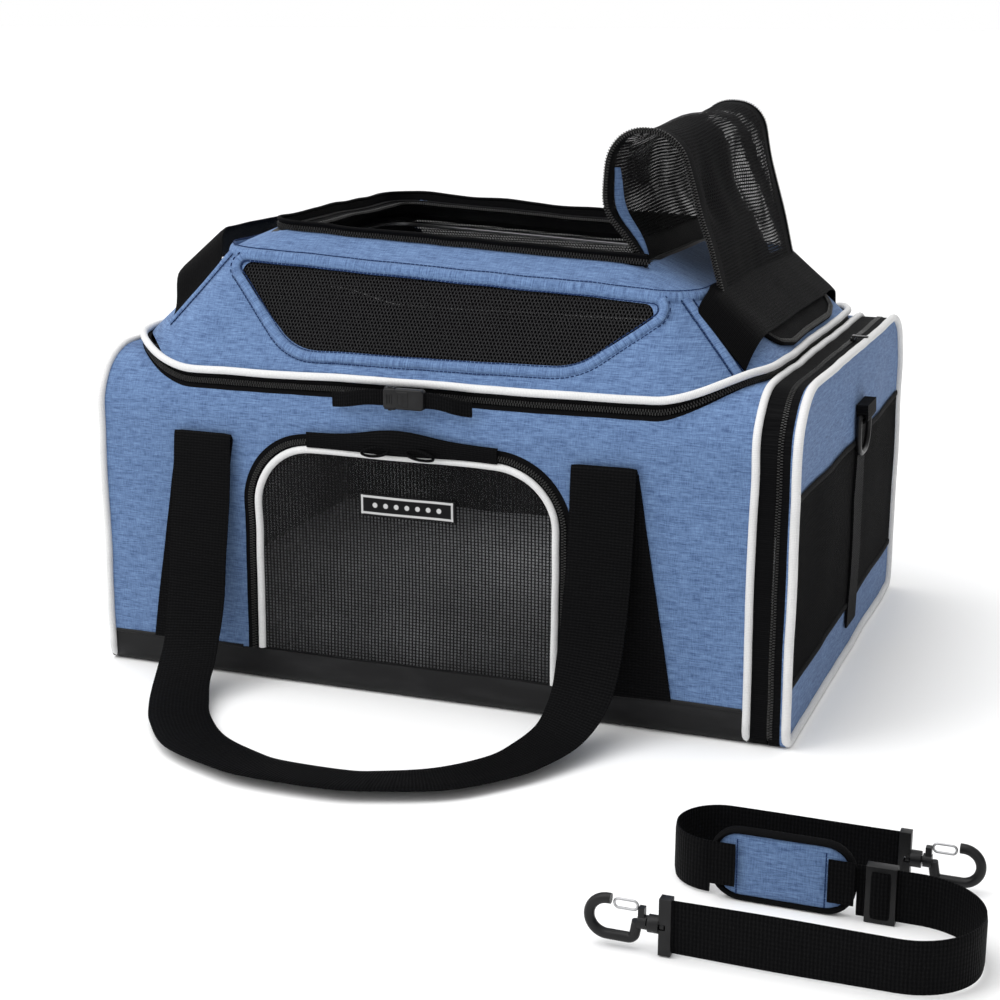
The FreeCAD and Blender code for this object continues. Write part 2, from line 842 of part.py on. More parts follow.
def strap_parts():
    front, middle, back = strap_rows()
    low = strap_rest
    high = strap_rest + strap_width
    pad_left = strap_left
    pad_right = pad_left + strap_pad_length
    r = strap_turn_radius
    q = strap_back_turn_radius
    tight = r - 0.01
    route = [
        V(strap_left, front, 0),
        V(strap_right + r, front, 0),
        V(strap_right + r, middle, 0),
        V(pad_right, middle, 0),
    ]
    long_web = band_along(route, [0, tight, tight, 0], strap_thickness, low, high)
    snug = q - 0.01
    route = [
        V(pad_left, middle, 0),
        V(strap_left - q, middle, 0),
        V(strap_left - q, back, 0),
        V(strap_back_end, back, 0),
    ]
    short_web = band_along(route, [0, snug, snug, 0], strap_thickness, low, high)
    half = strap_pad_thickness / 2
    corners = [
        V(pad_left, middle - half, 0),
        V(pad_right, middle - half, 0),
        V(pad_right, middle - half, strap_pad_width),
        V(pad_left, middle - half, strap_pad_width),
    ]
    pad = prism(rounded(corners, [9, 9, 9, 9]), Y * strap_pad_thickness)
    out = {"strap_webbing_long": long_web, "strap_webbing_short": short_web, "strap_pad": pad}
    start = pad_right + 4.0
    gap = 0.4
    frame = box((start, middle - 2.8, 0.2), (start + adjuster_length, middle + 2.8, high + 1.3))
    slot_half = strap_thickness / 2 + gap
    slot = box((start - 1, middle - slot_half, low - gap), (start + adjuster_length + 1, middle + slot_half, high + gap))
    out["strap_adjuster"] = frame.cut(slot)
    middle_z = strap_rest + strap_width / 2
    ends = ((V(strap_left, front, middle_z), -1, "front"), (V(strap_back_end, back, middle_z), 1, "back"))
    eyes = []
    for at, way, name in ends:
        for key, shape in hook(way).items():
            shape.translate(at)
            if key == "eye":
                eyes.append(shape)
            else:
                out["strap_" + key + "_" + name] = shape
    out["strap_hook_eyes"] = Part.makeCompound(eyes)
    return out


def hook(way):
    """Swivel snap hook pointing along X from the end of the webbing at the origin."""
    eye_half = strap_width / 2 + 2.0
    eye = box((0, -2.6, -eye_half + 1.2), (5.5, 2.6, eye_half - 1.2))
    stem = Part.makeCylinder(4.0, 5.0, V(5.5, 0, 0), X)
    bore = Part.makeCylinder(1.8, 9.0, V(2.5, 0, 0), X)
    cavity = Part.makeCylinder(2.9, 3.2, V(2.5, 0, 0), X)
    eye = eye.fuse(stem).cut(bore).cut(cavity).removeSplitter()
    pin = Part.makeCylinder(1.5, 9.0, V(3.5, 0, 0), X)
    head = Part.makeCylinder(2.5, 1.8, V(3.2, 0, 0), X)
    neck = 11.2
    shank = Part.makeCylinder(3.2, 4.0, V(neck, 0, 0), X)
    centre = neck + 4.0 + hook_radius
    bow_low = V(centre - hook_radius, 0, 0)
    points = [
        bow_low + V(0.5, 0, 0),
        V(centre - hook_radius + 2.0, 0, -hook_radius),
        V(centre + hook_length, 0, -hook_radius),
        V(centre + hook_length, 0, hook_radius),
        V(centre + 4.0, 0, hook_radius),
    ]
    bend = hook_radius - 0.05
    bow = rod(rounded(points, [0, 3.0, bend, bend, 0], closed=False), hook_rod)
    body = pin.fuse(head).fuse(shank).fuse(bow).removeSplitter()
    hinge_x = neck + 3.8 + gate_gap
    gate_end = centre + 4.0 - tip_gap
    gate = box((hinge_x, -1.6, hook_radius - 4.2), (gate_end, 1.6, hook_radius + 1.2))
    arm = box((neck + 1.0, -1.8, 1.0), (neck + 3.8, 1.8, hook_radius - 1.5))
    body = body.fuse(arm).removeSplitter()
    shapes = {"eye": eye, "hook": body, "gate": gate}
    if way < 0:
        shapes = {key: shape.mirror(V(0, 0, 0), X) for key, shape in shapes.items()}
    return shapes


# ---- write every piece ---------------------------------------------------------------
def all_parts():
    out = {
        "base_tray": base_tray(),
        "base_board": base_board(),
        "base_mat": base_mat(),
        "front_panel": long_panel(-1),
        "back_panel": long_panel(1),
        "left_end_panel": left_end_panel(),
        "body_lid_zip_tape": body_lid_zip_tape(),
        "end_pipings": end_pipings(),
        "end_frame_zip_tape": end_frame_zip_tape(),
        "end_frame_wires": end_frame_wires(),
        "front_frame_zip_tape": front_frame_zip_tape(),
        "handle_anchors": handle_anchors(),
        "front_handle": handle(),
        "back_handle": mirrored_y(handle()),
        "lid_mesh_windows": lid_mesh_windows(),
        "lid_piping": lid_piping(),
        "lid_zip_tape": lid_zip_tape(),
        "lid_frame_wire": lid_frame_wire(),
        "lid_elastic_bands": lid_elastic_bands(),
        "top_opening_zip_tape": top_opening_zip_tape(),
        "top_flap": top_flap(),
        "top_flap_zip_edge": top_flap_zip_edge(),
        "front_door_mesh": front_door_mesh(),
        "front_door_piping": front_door_piping(),
        "front_door_zip_tape": front_door_zip_tape(),
        "door_zip_cover": door_zip_cover(),
        "label_patch": label_patch(),
        "end_door_panel": end_door_panel(),
        "end_door_piping": end_door_piping(),
        "end_door_zip_tape": end_door_zip_tape(),
        "end_door_pocket": end_pocket(),
    }
    for group in (lid_panels(), zip_sliders(), ring_fittings(), buckle_parts(), strap_parts()):
        out.update(group)
    return out


os.makedirs("parts", exist_ok=True)
for name, shape in all_parts().items():
    if shape.isNull() or not shape.isValid() or not shape.Solids:
        raise ValueError(name + " is not a valid solid")
    print(f"{name}: {len(shape.Solids)} solids, {shape.Volume:.0f} mm3")
    shape.exportStep("parts/" + name + ".step")
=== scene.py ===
import math

import bmesh
import bpy
from mathutils import Matrix, Vector, noise
from mathutils.bvhtree import BVHTree


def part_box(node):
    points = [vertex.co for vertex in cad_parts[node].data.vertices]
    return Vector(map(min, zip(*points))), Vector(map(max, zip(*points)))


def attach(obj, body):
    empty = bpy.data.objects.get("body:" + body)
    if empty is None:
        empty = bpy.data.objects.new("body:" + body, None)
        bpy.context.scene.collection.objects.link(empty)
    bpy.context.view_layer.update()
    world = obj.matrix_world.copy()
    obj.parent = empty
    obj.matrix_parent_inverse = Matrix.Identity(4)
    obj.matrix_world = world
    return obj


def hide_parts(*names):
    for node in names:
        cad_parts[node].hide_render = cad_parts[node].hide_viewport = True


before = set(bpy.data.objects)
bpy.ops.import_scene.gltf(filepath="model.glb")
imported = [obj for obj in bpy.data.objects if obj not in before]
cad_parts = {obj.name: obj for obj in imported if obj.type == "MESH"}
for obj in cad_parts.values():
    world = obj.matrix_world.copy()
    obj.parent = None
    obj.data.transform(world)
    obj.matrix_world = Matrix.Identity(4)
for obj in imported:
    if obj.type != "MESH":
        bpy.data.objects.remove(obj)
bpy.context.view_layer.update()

# Soft-sided pet carrier: cloth panels, piping, zips, mesh and webbing round the CAD frame.
# Metres, in the CAD model's own frame. Front is -Y, the zipped end door is at +X.

noise.seed_set(7)  # the unevenness of the cloth is the same each run
RIGHT, UP = Vector((1, 0, 0)), Vector((0, 0, 1))
FRONT, BACK = Vector((0, -1, 0)), Vector((0, 1, 0))
CORNERS = ((-1, -1), (1, -1), (1, 1), (-1, 1))

# ---- sizes shared with the CAD model, in metres ---------------------------------------
body_left, body_right, door_face = -0.216, 0.196, 0.216
half_width, body_height = 0.165, 0.198
shoulder, foot = 0.038, 0.006
shell_centre = (body_left + body_right) / 2
base_band = 0.020

lid_half_x, lid_half_y, lid_corner = 0.199, 0.158, 0.055
ridge_centre, ridge_z = -0.002, 0.249
ridge_x, ridge_y, ridge_corner = 0.150, 0.125, 0.025
tilt = math.radians(2.77)
slope_foot_y, slope_foot_z = 0.171, 0.170
crown_x, crown_y, crown_z = 0.122, 0.098, 0.262

window_half, window_foot, window_side, window_bend = 0.142, 0.204, 0.056, 0.040

door_centre, door_half, door_top, door_bend = -0.0135, 0.1035, 0.157, 0.045
door_foot = 0.021
zip_half, zip_gap = 0.0034, 0.0005
piping_radius = 0.0023
pocket_edges = (0.035, 0.141)

handle_centre, handle_reach, handle_axis_y = -0.016, 0.126, -0.168
webbing_half, webbing_thick = 0.019, 0.0018

flap_half = 0.092
collar_x, collar_y, collar_bend = 0.1215, 0.0975, 0.021
buckle_z = 0.183
strap_low, strap_high = 0.0015, 0.0265

# ---- sizes of sewn detail, in metres ----------------------------------------------------
coil_pitch = 0.0016
stitch_pitch = 0.0026
edge_step = 0.006
cord_radius = 0.0009
smooth_cloth, smooth_form, smooth_moulded = 32.0, 60.0, 35.0  # degrees


# ---- paths ------------------------------------------------------------------------------
def rounded_path(corners, radii, closed=True, step=0.004):
    """Points along straight runs and round arcs through the corners, about a step apart."""
    points = []
    count = len(corners)
    for i, here in enumerate(corners):
        radius = radii[i]
        if radius <= 0 or (not closed and i in (0, count - 1)):
            points.append(here.copy())
            continue
        back = (corners[i - 1] - here).normalized()
        on = (corners[(i + 1) % count] - here).normalized()
        half = back.angle(on) / 2
        centre = here + (back + on).normalized() * (radius / math.sin(half))
        start = here + back * (radius / math.tan(half)) - centre
        end = here + on * (radius / math.tan(half)) - centre
        turns = max(6, int(start.angle(end) * radius / step))
        for k in range(turns + 1):
            points.append(centre + start.normalized().slerp(end.normalized(), k / turns) * start.length)
    return resampled(points, step, closed)


def resampled(points, step, closed=False):
    """The same line with evenly spaced points."""
    line = points + points[:1] if closed else list(points)
    marks = [0.0]
    for a, b in zip(line, line[1:]):
        marks.append(marks[-1] + (b - a).length)
    count = max(3, round(marks[-1] / step))
    out = []
    k = 0
    for i in range(count if closed else count + 1):
        at = marks[-1] * i / count
        while k < len(marks) - 2 and marks[k + 1] < at:
            k += 1
        span = marks[k + 1] - marks[k]
        share = (at - marks[k]) / span if span > 1e-12 else 0.0
        out.append(line[k].lerp(line[k + 1], min(1.0, max(0.0, share))))
    return out


def resampled_to(points, count):
    """The same open line with a set number of evenly spaced points."""
    length = sum((b - a).length for a, b in zip(points, points[1:]))
    out = resampled(points, length / (count - 1) * 1.0001)
    return out[:count] if len(out) >= count else out + [points[-1]] * (count - len(out))


def tangents(points, closed):
    count = len(points)
    out = []
    for i in range(count):
        before = points[i - 1] if closed or i else points[i]
        after = points[(i + 1) % count] if closed or i < count - 1 else points[i]
        out.append((after - before).normalized())
    return out


def rectangle(centre_x, half_x, half_y, radius, z, step=0.004):
    corners = [Vector((centre_x + a * half_x, b * half_y, z)) for a, b in CORNERS]
    return rounded_path(corners, [radius] * 4, True, step)


def tilted(points):
    """Leans points with the dome, which sinks towards the end door."""
    pivot = Vector((ridge_centre, 0, ridge_z))
    turn = Matrix.Rotation(tilt, 3, "Y")
    return [pivot + turn @ (p - pivot) for p in points]


def profile_height(y, grow):
    """Height of the carrier's end outline at a depth, grown outwards."""
    across = abs(y) - (half_width - shoulder)
    top = body_height - shoulder
    radius = shoulder + grow
    if across <= 0:
        return top + radius
    return top + math.sqrt(max(radius**2 - across**2, 0.0))


def rim_path(grow_plan, grow_up, step=0.004):
    """Line round the lid's rim that follows the carrier's rounded shoulders."""
    plan = rectangle(
        shell_centre, lid_half_x + grow_plan, lid_half_y + grow_plan, lid_corner + grow_plan, 0, step
    )
    return [Vector((p.x, p.y, profile_height(p.y, grow_up))) for p in plan]


def end_path(x, grow, step=0.004):
    """Outline of the carrier's end, grown outwards, at one x."""
    y = half_width + grow
    low = -min(grow, 0.0) + piping_radius
    high = body_height + grow
    corners = [Vector((x, -y, low)), Vector((x, y, low)), Vector((x, y, high)), Vector((x, -y, high))]
    radii = [foot + grow, foot + grow, shoulder + grow, shoulder + grow]
    return rounded_path(corners, radii, True, step)


def arch_path(inset, y, step=0.004):
    """The front door's arch, open at the bottom."""
    half = door_half - inset
    top = door_top - inset
    bend = door_bend - inset
    corners = [
        Vector((door_centre - half, y, door_foot)),
        Vector((door_centre - half, y, top)),
        Vector((door_centre + half, y, top)),
        Vector((door_centre + half, y, door_foot)),
    ]
    return rounded_path(corners, [0, bend, bend, 0], False, step)


def slope_y(x, z):
    """Depth of the lid's front slope at a place on it (the back slope mirrors it)."""
    top = ridge_z - (x - ridge_centre) * math.tan(tilt)
    share = (z - slope_foot_z) / (top - slope_foot_z)
    return -slope_foot_y + (slope_foot_y - ridge_y) * share


def window_path(side, grow, step=0.004):
    left = ridge_centre - window_half - grow
    right = ridge_centre + window_half + grow
    top = ridge_z - 0.004 + grow
    lean = math.tan(tilt) * window_half
    low = window_foot - grow
    corners = [
        Vector((left, 0, top + lean)),
        Vector((right, 0, top - lean)),
        Vector((right - window_side, 0, low)),
        Vector((left + window_side, 0, low)),
    ]
    bend = window_bend + grow
    flat = rounded_path(corners, [0.006, 0.006, bend, bend], True, step)
    return [Vector((p.x, -side * slope_y(p.x, p.z), p.z)) for p in flat]


def dropped(points, tree, lift):
    """Points laid on a surface from above, lifted along its normal."""
    out = []
    normals = []
    for p in points:
        for nudge in (0.0, 0.0004, -0.0004, 0.0012, -0.0012):
            start = Vector((p.x + nudge, p.y * (1 - abs(nudge)), 0.5))
            place, normal, _, _ = tree.ray_cast(start, Vector((0, 0, -1)))
            if place is not None:
                break
        else:
            continue
        if normal.z < 0:
            normal = -normal
        out.append(place + normal * lift)
        normals.append(normal)
    return out, normals


def softened(p, size=0.0009, reach=0.055):
    """Slow unevenness of sewn cloth, the same for everything at one place."""
    at = p / reach
    return p + noise.noise_vector(at) * size + noise.noise_vector(at * 2.7) * size * 0.35


def near(value, low, high):
    """0 to 1, smoothly, as a value goes from low to high."""
    share = min(1.0, max(0.0, (value - low) / (high - low)))
    return share * share * (3 - 2 * share)


# ---- mesh building -----------------------------------------------------------------------
def each(normals, line):
    """One normal for every point of a line."""
    return [normals] * len(line) if isinstance(normals, Vector) else normals


def tube_faces(rings, sides, closed):
    """Faces between rings of points, with a cap at both ends of an open tube."""
    faces = []
    for i in range(rings if closed else rings - 1):
        j = (i + 1) % rings
        for k in range(sides):
            m = (k + 1) % sides
            faces.append((i * sides + k, i * sides + m, j * sides + m, j * sides + k))
    if not closed:
        faces.append(tuple(range(sides))[::-1])
        faces.append(tuple((rings - 1) * sides + k for k in range(sides)))
    return faces


class Form:
    """Collects the points, faces and flat coordinates of one piece."""

    def __init__(self):
        self.points, self.faces, self.flat, self.slots = [], [], [], []

    def add(self, points, faces, flat=None):
        base = len(self.points)
        self.points += points
        self.flat += flat or [(0.0, 0.0)] * len(points)
        self.faces += [tuple(base + i for i in face) for face in faces]
        self.slots += [0] * len(faces)

    def sweep(self, line, normals, half_wide, half_high, closed=False, sides=10):
        """Rounded section carried along a line; the normals say which way is up."""
        points, flat, run = [], [], 0.0
        for i, (p, way, normal) in enumerate(zip(line, tangents(line, closed), each(normals, line))):
            if i:
                run += (p - line[i - 1]).length
            side = way.cross(normal).normalized()
            up = side.cross(way).normalized()
            for k in range(sides):
                turn = 2 * math.pi * k / sides
                points.append(p + side * (half_wide * math.cos(turn)) + up * (half_high * math.sin(turn)))
                flat.append((k / sides * 0.01, run))
        self.add(points, tube_faces(len(line), sides, closed), flat)

    def block(self, centre, along, up, length, wide, high):
        """Small six-sided block, narrower at its top."""
        side = along.cross(up).normalized()
        points = []
        for k, share in ((-1, 1.0), (1, 0.72)):
            foot_point = centre + up * (k * high / 2)
            for a, b in CORNERS:
                points.append(foot_point + along * (a * length / 2 * share) + side * (b * wide / 2 * share))
        faces = [(3, 2, 1, 0), (4, 5, 6, 7), (0, 1, 5, 4), (1, 2, 6, 5), (2, 3, 7, 6), (3, 0, 4, 7)]
        self.add(points, faces)

    def zip_coil(self, line, normals, closed=False):
        """Two rows of interlocked coil humps along a line."""
        for p, way, up in zip(line, tangents(line, closed), each(normals, line)):
            side = way.cross(up).normalized()
            for k in (-1, 1):
                centre = p + side * (k * 0.0008) + way * (coil_pitch * 0.25 * k)
                self.block(centre, way, up, coil_pitch * 0.45, 0.0018, 0.0012)

    def stitches(self, line, normals, closed=False):
        """Dashes of sewing thread; the line's points are one stitch apart."""
        for p, way, up in zip(line, tangents(line, closed), each(normals, line)):
            self.block(p, way, up, 0.0023, 0.0007, 0.0006)

    def band(self, rows, thickness, across=8):
        """Flat band through rows of edge pairs, with rounded-off edges."""
        middles = [(a + b) / 2 for a, b in rows]
        points, flat, run = [], [], 0.0
        for i, ((a, b), way) in enumerate(zip(rows, tangents(middles, False))):
            if i:
                run += (middles[i] - middles[i - 1]).length
            wide = b - a
            up = way.cross(wide).normalized() * (thickness / 2)
            for face, order in ((1, range(across + 1)), (-1, range(across, -1, -1))):
                for k in order:
                    edge = 0.45 if k in (0, across) else 1.0
                    points.append(a + wide * (k / across) + up * (face * edge))
                    flat.append((wide.length * k / across, run))
        self.add(points, tube_faces(len(rows), 2 * (across + 1), False), flat)

    def sheet(self, grid, thickness, slot_of=None):
        """Thin cloth from a grid of points, closed on both sides."""
        rows, cols = len(grid), len(grid[0])
        upper, lower, flat, along = [], [], [], 0.0
        for i, row in enumerate(grid):
            if i:
                along += (row[cols // 2] - grid[i - 1][cols // 2]).length
            across = 0.0
            for j, p in enumerate(row):
                u = grid[min(i + 1, rows - 1)][j] - grid[max(i - 1, 0)][j]
                v = row[min(j + 1, cols - 1)] - row[max(j - 1, 0)]
                up = u.cross(v).normalized() * (thickness / 2)
                upper.append(p + up)
                lower.append(p - up)
                if j:
                    across += (p - row[j - 1]).length
                flat.append((across, along))
        count = rows * cols
        faces, slots = [], []
        for i in range(rows - 1):
            for j in range(cols - 1):
                a = i * cols + j
                quad = (a, a + 1, a + cols + 1, a + cols)
                faces += [quad[::-1], tuple(count + q for q in quad)]
                slots += [slot_of(i, j) if slot_of else 0] * 2
        rim = list(range(cols)) + [i * cols + cols - 1 for i in range(1, rows)]
        rim += [(rows - 1) * cols + j for j in range(cols - 2, -1, -1)]
        rim += [i * cols for i in range(rows - 2, 0, -1)]
        faces += [(a, b, count + b, count + a) for a, b in zip(rim, rim[1:] + rim[:1])]
        self.add(upper + lower, faces, flat + flat)
        self.slots[-len(faces) :] = slots + [0] * len(rim)

    def piece(self, name, body, material, slot, replaces=(), smooth=50.0):
        mesh = bpy.data.meshes.new(name)
        mesh.from_pydata(self.points, [], self.faces)
        layer = mesh.uv_layers.new(name="UVMap")
        for loop in mesh.loops:
            layer.data[loop.index].uv = self.flat[loop.vertex_index]
        mesh.polygons.foreach_set("material_index", self.slots)
        materials = material if isinstance(material, list) else [material]
        return finished(mesh, name, body, materials, replaces, smooth)


def mesh_of(bm, name):
    mesh = bpy.data.meshes.new(name)
    bm.to_mesh(mesh)
    bm.free()
    return mesh


def linked(name, data):
    """A new object of the scene."""
    obj = bpy.data.objects.new(name, data)
    bpy.context.scene.collection.objects.link(obj)
    return obj


def shaded(mesh, angle):
    """Smooth shading, with edges sharper than an angle in degrees left hard."""
    mesh.shade_smooth()
    mesh.set_sharp_from_angle(angle=math.radians(angle))


def finished(mesh, name, body, materials, replaces=(), smooth=50.0):
    """Makes an object of a mesh, parents it to its body and hides the CAD nodes it replaces."""
    for material in materials:
        mesh.materials.append(material)
    bm = bmesh.new()
    bm.from_mesh(mesh)
    bmesh.ops.recalc_face_normals(bm, faces=bm.faces)
    bm.to_mesh(mesh)
    bm.free()
    shaded(mesh, smooth)
    obj = linked(name, mesh)
    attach(obj, body)
    if replaces:
        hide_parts(*replaces)
    return obj


def apply_modifiers(obj):
    """Bakes the object's modifiers into its mesh."""
    graph = bpy.context.evaluated_depsgraph_get()
    mesh = bpy.data.meshes.new_from_object(obj.evaluated_get(graph))
    obj.modifiers.clear()
    obj.data = mesh


def cad_copy(node):
    """Clean editable copy of a CAD node's mesh, its flat faces whole."""
    bm = bmesh.new()
    bm.from_mesh(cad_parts[node].data)
    bmesh.ops.remove_doubles(bm, verts=bm.verts, dist=2e-6)
    flat = math.radians(0.4)
    bmesh.ops.dissolve_limit(bm, angle_limit=flat, verts=bm.verts, edges=bm.edges, use_dissolve_boundaries=False)
    return bm


def cloth_from_cad(name, node, body, kind, step, move=softened, inside=None):
    """Finely divided cloth in a CAD node's shape, made uneven, lined where inside() says so."""
    materials, slot = kind
    bm = cad_copy(node)
    low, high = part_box(node)
    for axis in range(3):
        way = Vector([float(axis == k) for k in range(3)])
        count = int((high[axis] - low[axis]) / step)
        for k in range(1, count + 1):
            geometry = bm.verts[:] + bm.edges[:] + bm.faces[:]
            place = Vector(low) + way * (step * k)
            bmesh.ops.bisect_plane(bm, geom=geometry, plane_co=place, plane_no=way, dist=1e-6)
    bmesh.ops.triangulate(bm, faces=[f for f in bm.faces if len(f.verts) > 4])
    if inside:
        for face in bm.faces:
            if inside(face.calc_center_median(), face.normal):
                face.material_index = 1
    for vert in bm.verts:
        vert.co = move(vert.co.copy())
    return finished(mesh_of(bm, name), name, body, materials, (node,), smooth_cloth)


def round_edges(obj, width, angle):
    """Bevels the edges of a moulded part that are sharper than an angle in degrees."""
    edges = obj.modifiers.new("edges", "BEVEL")
    edges.width = width
    edges.segments = 3
    edges.limit_method = "ANGLE"
    edges.angle_limit = math.radians(angle)
    apply_modifiers(obj)
    shaded(obj.data, smooth_moulded)


def moulded(name, node, body, material, bevel):
    """A CAD node with its edges rounded, for small moulded parts."""
    mesh = mesh_of(cad_copy(node), name)
    round_edges(finished(mesh, name, body, [material], (node,), smooth_moulded), bevel, 40)


def prism(name, outline, front, back):
    """Closed mesh between two depths, with an outline of points in x and z."""
    bm = bmesh.new()
    near_ring, far_ring = [[bm.verts.new((p.x, y, p.z)) for p in outline] for y in (front, back)]
    bm.faces.new(near_ring)
    bm.faces.new(far_ring[::-1])
    for i in range(len(outline)):
        j = (i + 1) % len(outline)
        bm.faces.new((near_ring[j], near_ring[i], far_ring[i], far_ring[j]))
    return mesh_of(bm, name)


# ---- materials ----------------------------------------------------------------------------
class Shader:
    """Short-hand for building one node material."""

    def __init__(self, name, axes):
        self.material = bpy.data.materials.new(name)
        self.material.use_nodes = True
        self.tree = self.material.node_tree
        self.tree.nodes.clear()
        self.output = self.node("OutputMaterial")
        self.surface = self.node("BsdfPrincipled")
        self.join(self.surface.outputs[0], self.output.inputs[0])
        self.a, self.b = self.place(axes)

    def join(self, a, b):
        self.tree.links.new(a, b)

    def node(self, kind, **values):
        made = self.tree.nodes.new("ShaderNode" + kind)
        for key, value in values.items():
            setattr(made, key, value)
        return made

    def math(self, operation, *values):
        made = self.node("Math", operation=operation)
        for value, socket in zip(values, made.inputs):
            if isinstance(value, (int, float)):
                socket.default_value = value
            else:
                self.join(value, socket)
        return made.outputs[0]

    def times(self, a, b):
        return self.math("MULTIPLY", a, b)

    def minus(self, a, b):
        return self.math("SUBTRACT", a, b)

    def most(self, a, b):
        return self.math("MAXIMUM", a, b)

    def share(self, a, part, rest):
        """A part of one value added to the rest."""
        return self.math("MULTIPLY_ADD", a, part, rest)

    def span(self, a, b):
        return self.math("SQRT", self.math("ADD", self.times(a, a), self.times(b, b)))

    def place(self, axes):
        """Two flat coordinates in metres: axes of the object, or "uv" for its laid-out cloth."""
        parts = self.node("SeparateXYZ")
        self.join(self.node("TexCoord").outputs["UV" if axes == "uv" else "Object"], parts.inputs[0])
        return [parts.outputs["xyz".find(axis)] for axis in ("xy" if axes == "uv" else axes)]

    def streaks(self, per_a, per_b, detail=2.0):
        """Noise stretched to its own spacing each way, in cells per metre."""
        joined = self.node("CombineXYZ")
        self.join(self.times(self.a, per_a), joined.inputs[0])
        self.join(self.times(self.b, per_b), joined.inputs[1])
        made = self.node("TexNoise", noise_dimensions="2D")
        made.inputs["Scale"].default_value = 1.0
        made.inputs["Detail"].default_value = detail
        self.join(joined.outputs[0], made.inputs["Vector"])
        return made.outputs[0]

    def ribs(self, v, pitch):
        """0 to 1 wave across one coordinate."""
        return self.share(self.math("SINE", self.times(v, 2 * math.pi / pitch)), 0.5, 0.5)

    def ranged(self, value, ends, low, high):
        made = self.node("MapRange")
        made.inputs[ends + " Min"].default_value = low
        made.inputs[ends + " Max"].default_value = high
        self.join(value, made.inputs["Value"])
        return made.outputs[0]

    def spread(self, value, low, high):
        """0 to 1 as a value goes from low to high."""
        return self.ranged(value, "From", low, high)

    def dress(self, colour, rough, bump=None, shine=None):
        """Colour, roughness and relief, each from a value and its two ends; a grey is two numbers."""
        mix = self.node("MixRGB")
        self.join(colour[0], mix.inputs[0])
        for i in (1, 2):
            tone = colour[i]
            mix.inputs[i].default_value = (*(tone if len(tone) == 3 else (tone[0], *tone)), 1)
        self.join(mix.outputs[0], self.surface.inputs["Base Color"])
        self.join(self.ranged(rough[0], "To", *rough[1:]), self.surface.inputs["Roughness"])
        if bump:
            relief = self.node("Bump")
            self.join(bump[0], relief.inputs["Height"])
            relief.inputs["Distance"].default_value, relief.inputs["Strength"].default_value = bump[1:]
            self.join(relief.outputs[0], self.surface.inputs["Normal"])
        if shine is not None:
            self.surface.inputs["Specular IOR Level"].default_value = shine
        return self.material

    def see_through(self, solid):
        """Lets light through where solid is 0."""
        mix = self.node("MixShader")
        self.join(solid, mix.inputs[0])
        self.join(self.node("BsdfTransparent").outputs[0], mix.inputs[1])
        self.join(self.surface.outputs[0], mix.inputs[2])
        self.join(mix.outputs[0], self.output.inputs[0])


def heather(name, axes):
    """Denim-blue two-tone cloth: light and dark slubs along both threads."""
    s = Shader(name, axes)
    cloth = s.share(s.streaks(150, 1500), 0.42, s.times(s.streaks(1500, 210), 0.26))
    cloth = s.share(s.streaks(45, 420), 0.2, cloth)
    cloth = s.share(s.streaks(2400, 2400, 0.0), 0.12, cloth)
    tone = s.spread(cloth, 0.35, 0.66)
    s.surface.inputs["Sheen Weight"].default_value = 0.05
    s.surface.inputs["Sheen Roughness"].default_value = 0.6
    blues = (0.048, 0.090, 0.200), (0.154, 0.252, 0.440)
    return s.dress((tone, *blues), (tone, 0.78, 0.92), (cloth, 0.00045, 0.55), 0.2)


def webbing(name, axes, pitch=0.0017, dark=(0.0016, 0.0019), light=(0.0085, 0.009)):
    """Black woven webbing with ribs across its length."""
    s = Shader(name, axes)
    rib = s.ribs(s.share(s.streaks(160, 700), pitch * 0.35, s.b), pitch)
    weave = s.share(s.ribs(s.a, 0.0021), 0.3, s.times(rib, 0.7))
    tone = s.times(weave, s.spread(s.streaks(1900, 1900, 1.0), 0.2, 0.75))
    return s.dress((tone, dark, light), (tone, 0.72, 0.5), (weave, 0.00035, 0.8), 0.03)


def tape(name, axes):
    """Zip tape: fine black herringbone."""
    s = Shader(name, axes)
    fuzz = s.streaks(1500, 1500)
    tone = s.times(s.ribs(s.math("ADD", s.a, s.math("PINGPONG", s.b, 0.0012)), 0.0009), fuzz)
    return s.dress((tone, (0.002, 0.0024), (0.009, 0.0095)), (fuzz, 0.6, 0.8), (tone, 0.0002, 0.7), 0.03)


def coil_plastic():
    """Black plastic of the zips' coils, with a painted highlight: a lighter tone spread in noise patches that also
    vary the roughness and relief.
    """
    s = Shader("zip_coil", "xz")
    wear = s.streaks(500, 500)
    # the second, lighter tone is a painted highlight on the teeth
    tones = (0.006, 0.0065), (0.046, 0.045, 0.043)
    return s.dress((wear, *tones), (wear, 0.28, 0.5), (wear, 0.0001, 0.4), 0.35)


def white_piping():
    """Off-white piping cloth with a fine cross weave."""
    s = Shader("white_piping", "uv")
    fuzz = s.streaks(900, 900)
    cloth = s.share(s.streaks(60, 60), 0.3, s.times(fuzz, 0.4))
    tone = s.share(s.ribs(s.b, 0.0009), 0.3, cloth)
    return s.dress((tone, (0.52, 0.53), (0.80, 0.79)), (fuzz, 0.55, 0.75), (tone, 0.0002, 0.6), 0.2)


def coated_black():
    """Smooth coated cloth of the base, with faint grain and scuffs."""
    s = Shader("coated_black", "xz")
    scuff = s.streaks(22, 90, 4.0)
    tones = (0.004, 0.0045), (0.012, 0.013)
    worn = s.spread(scuff, 0.45, 0.8)
    return s.dress((worn, *tones), (scuff, 0.38, 0.56), (s.streaks(1400, 1400, 3.0), 0.00012, 0.5), 0.2)


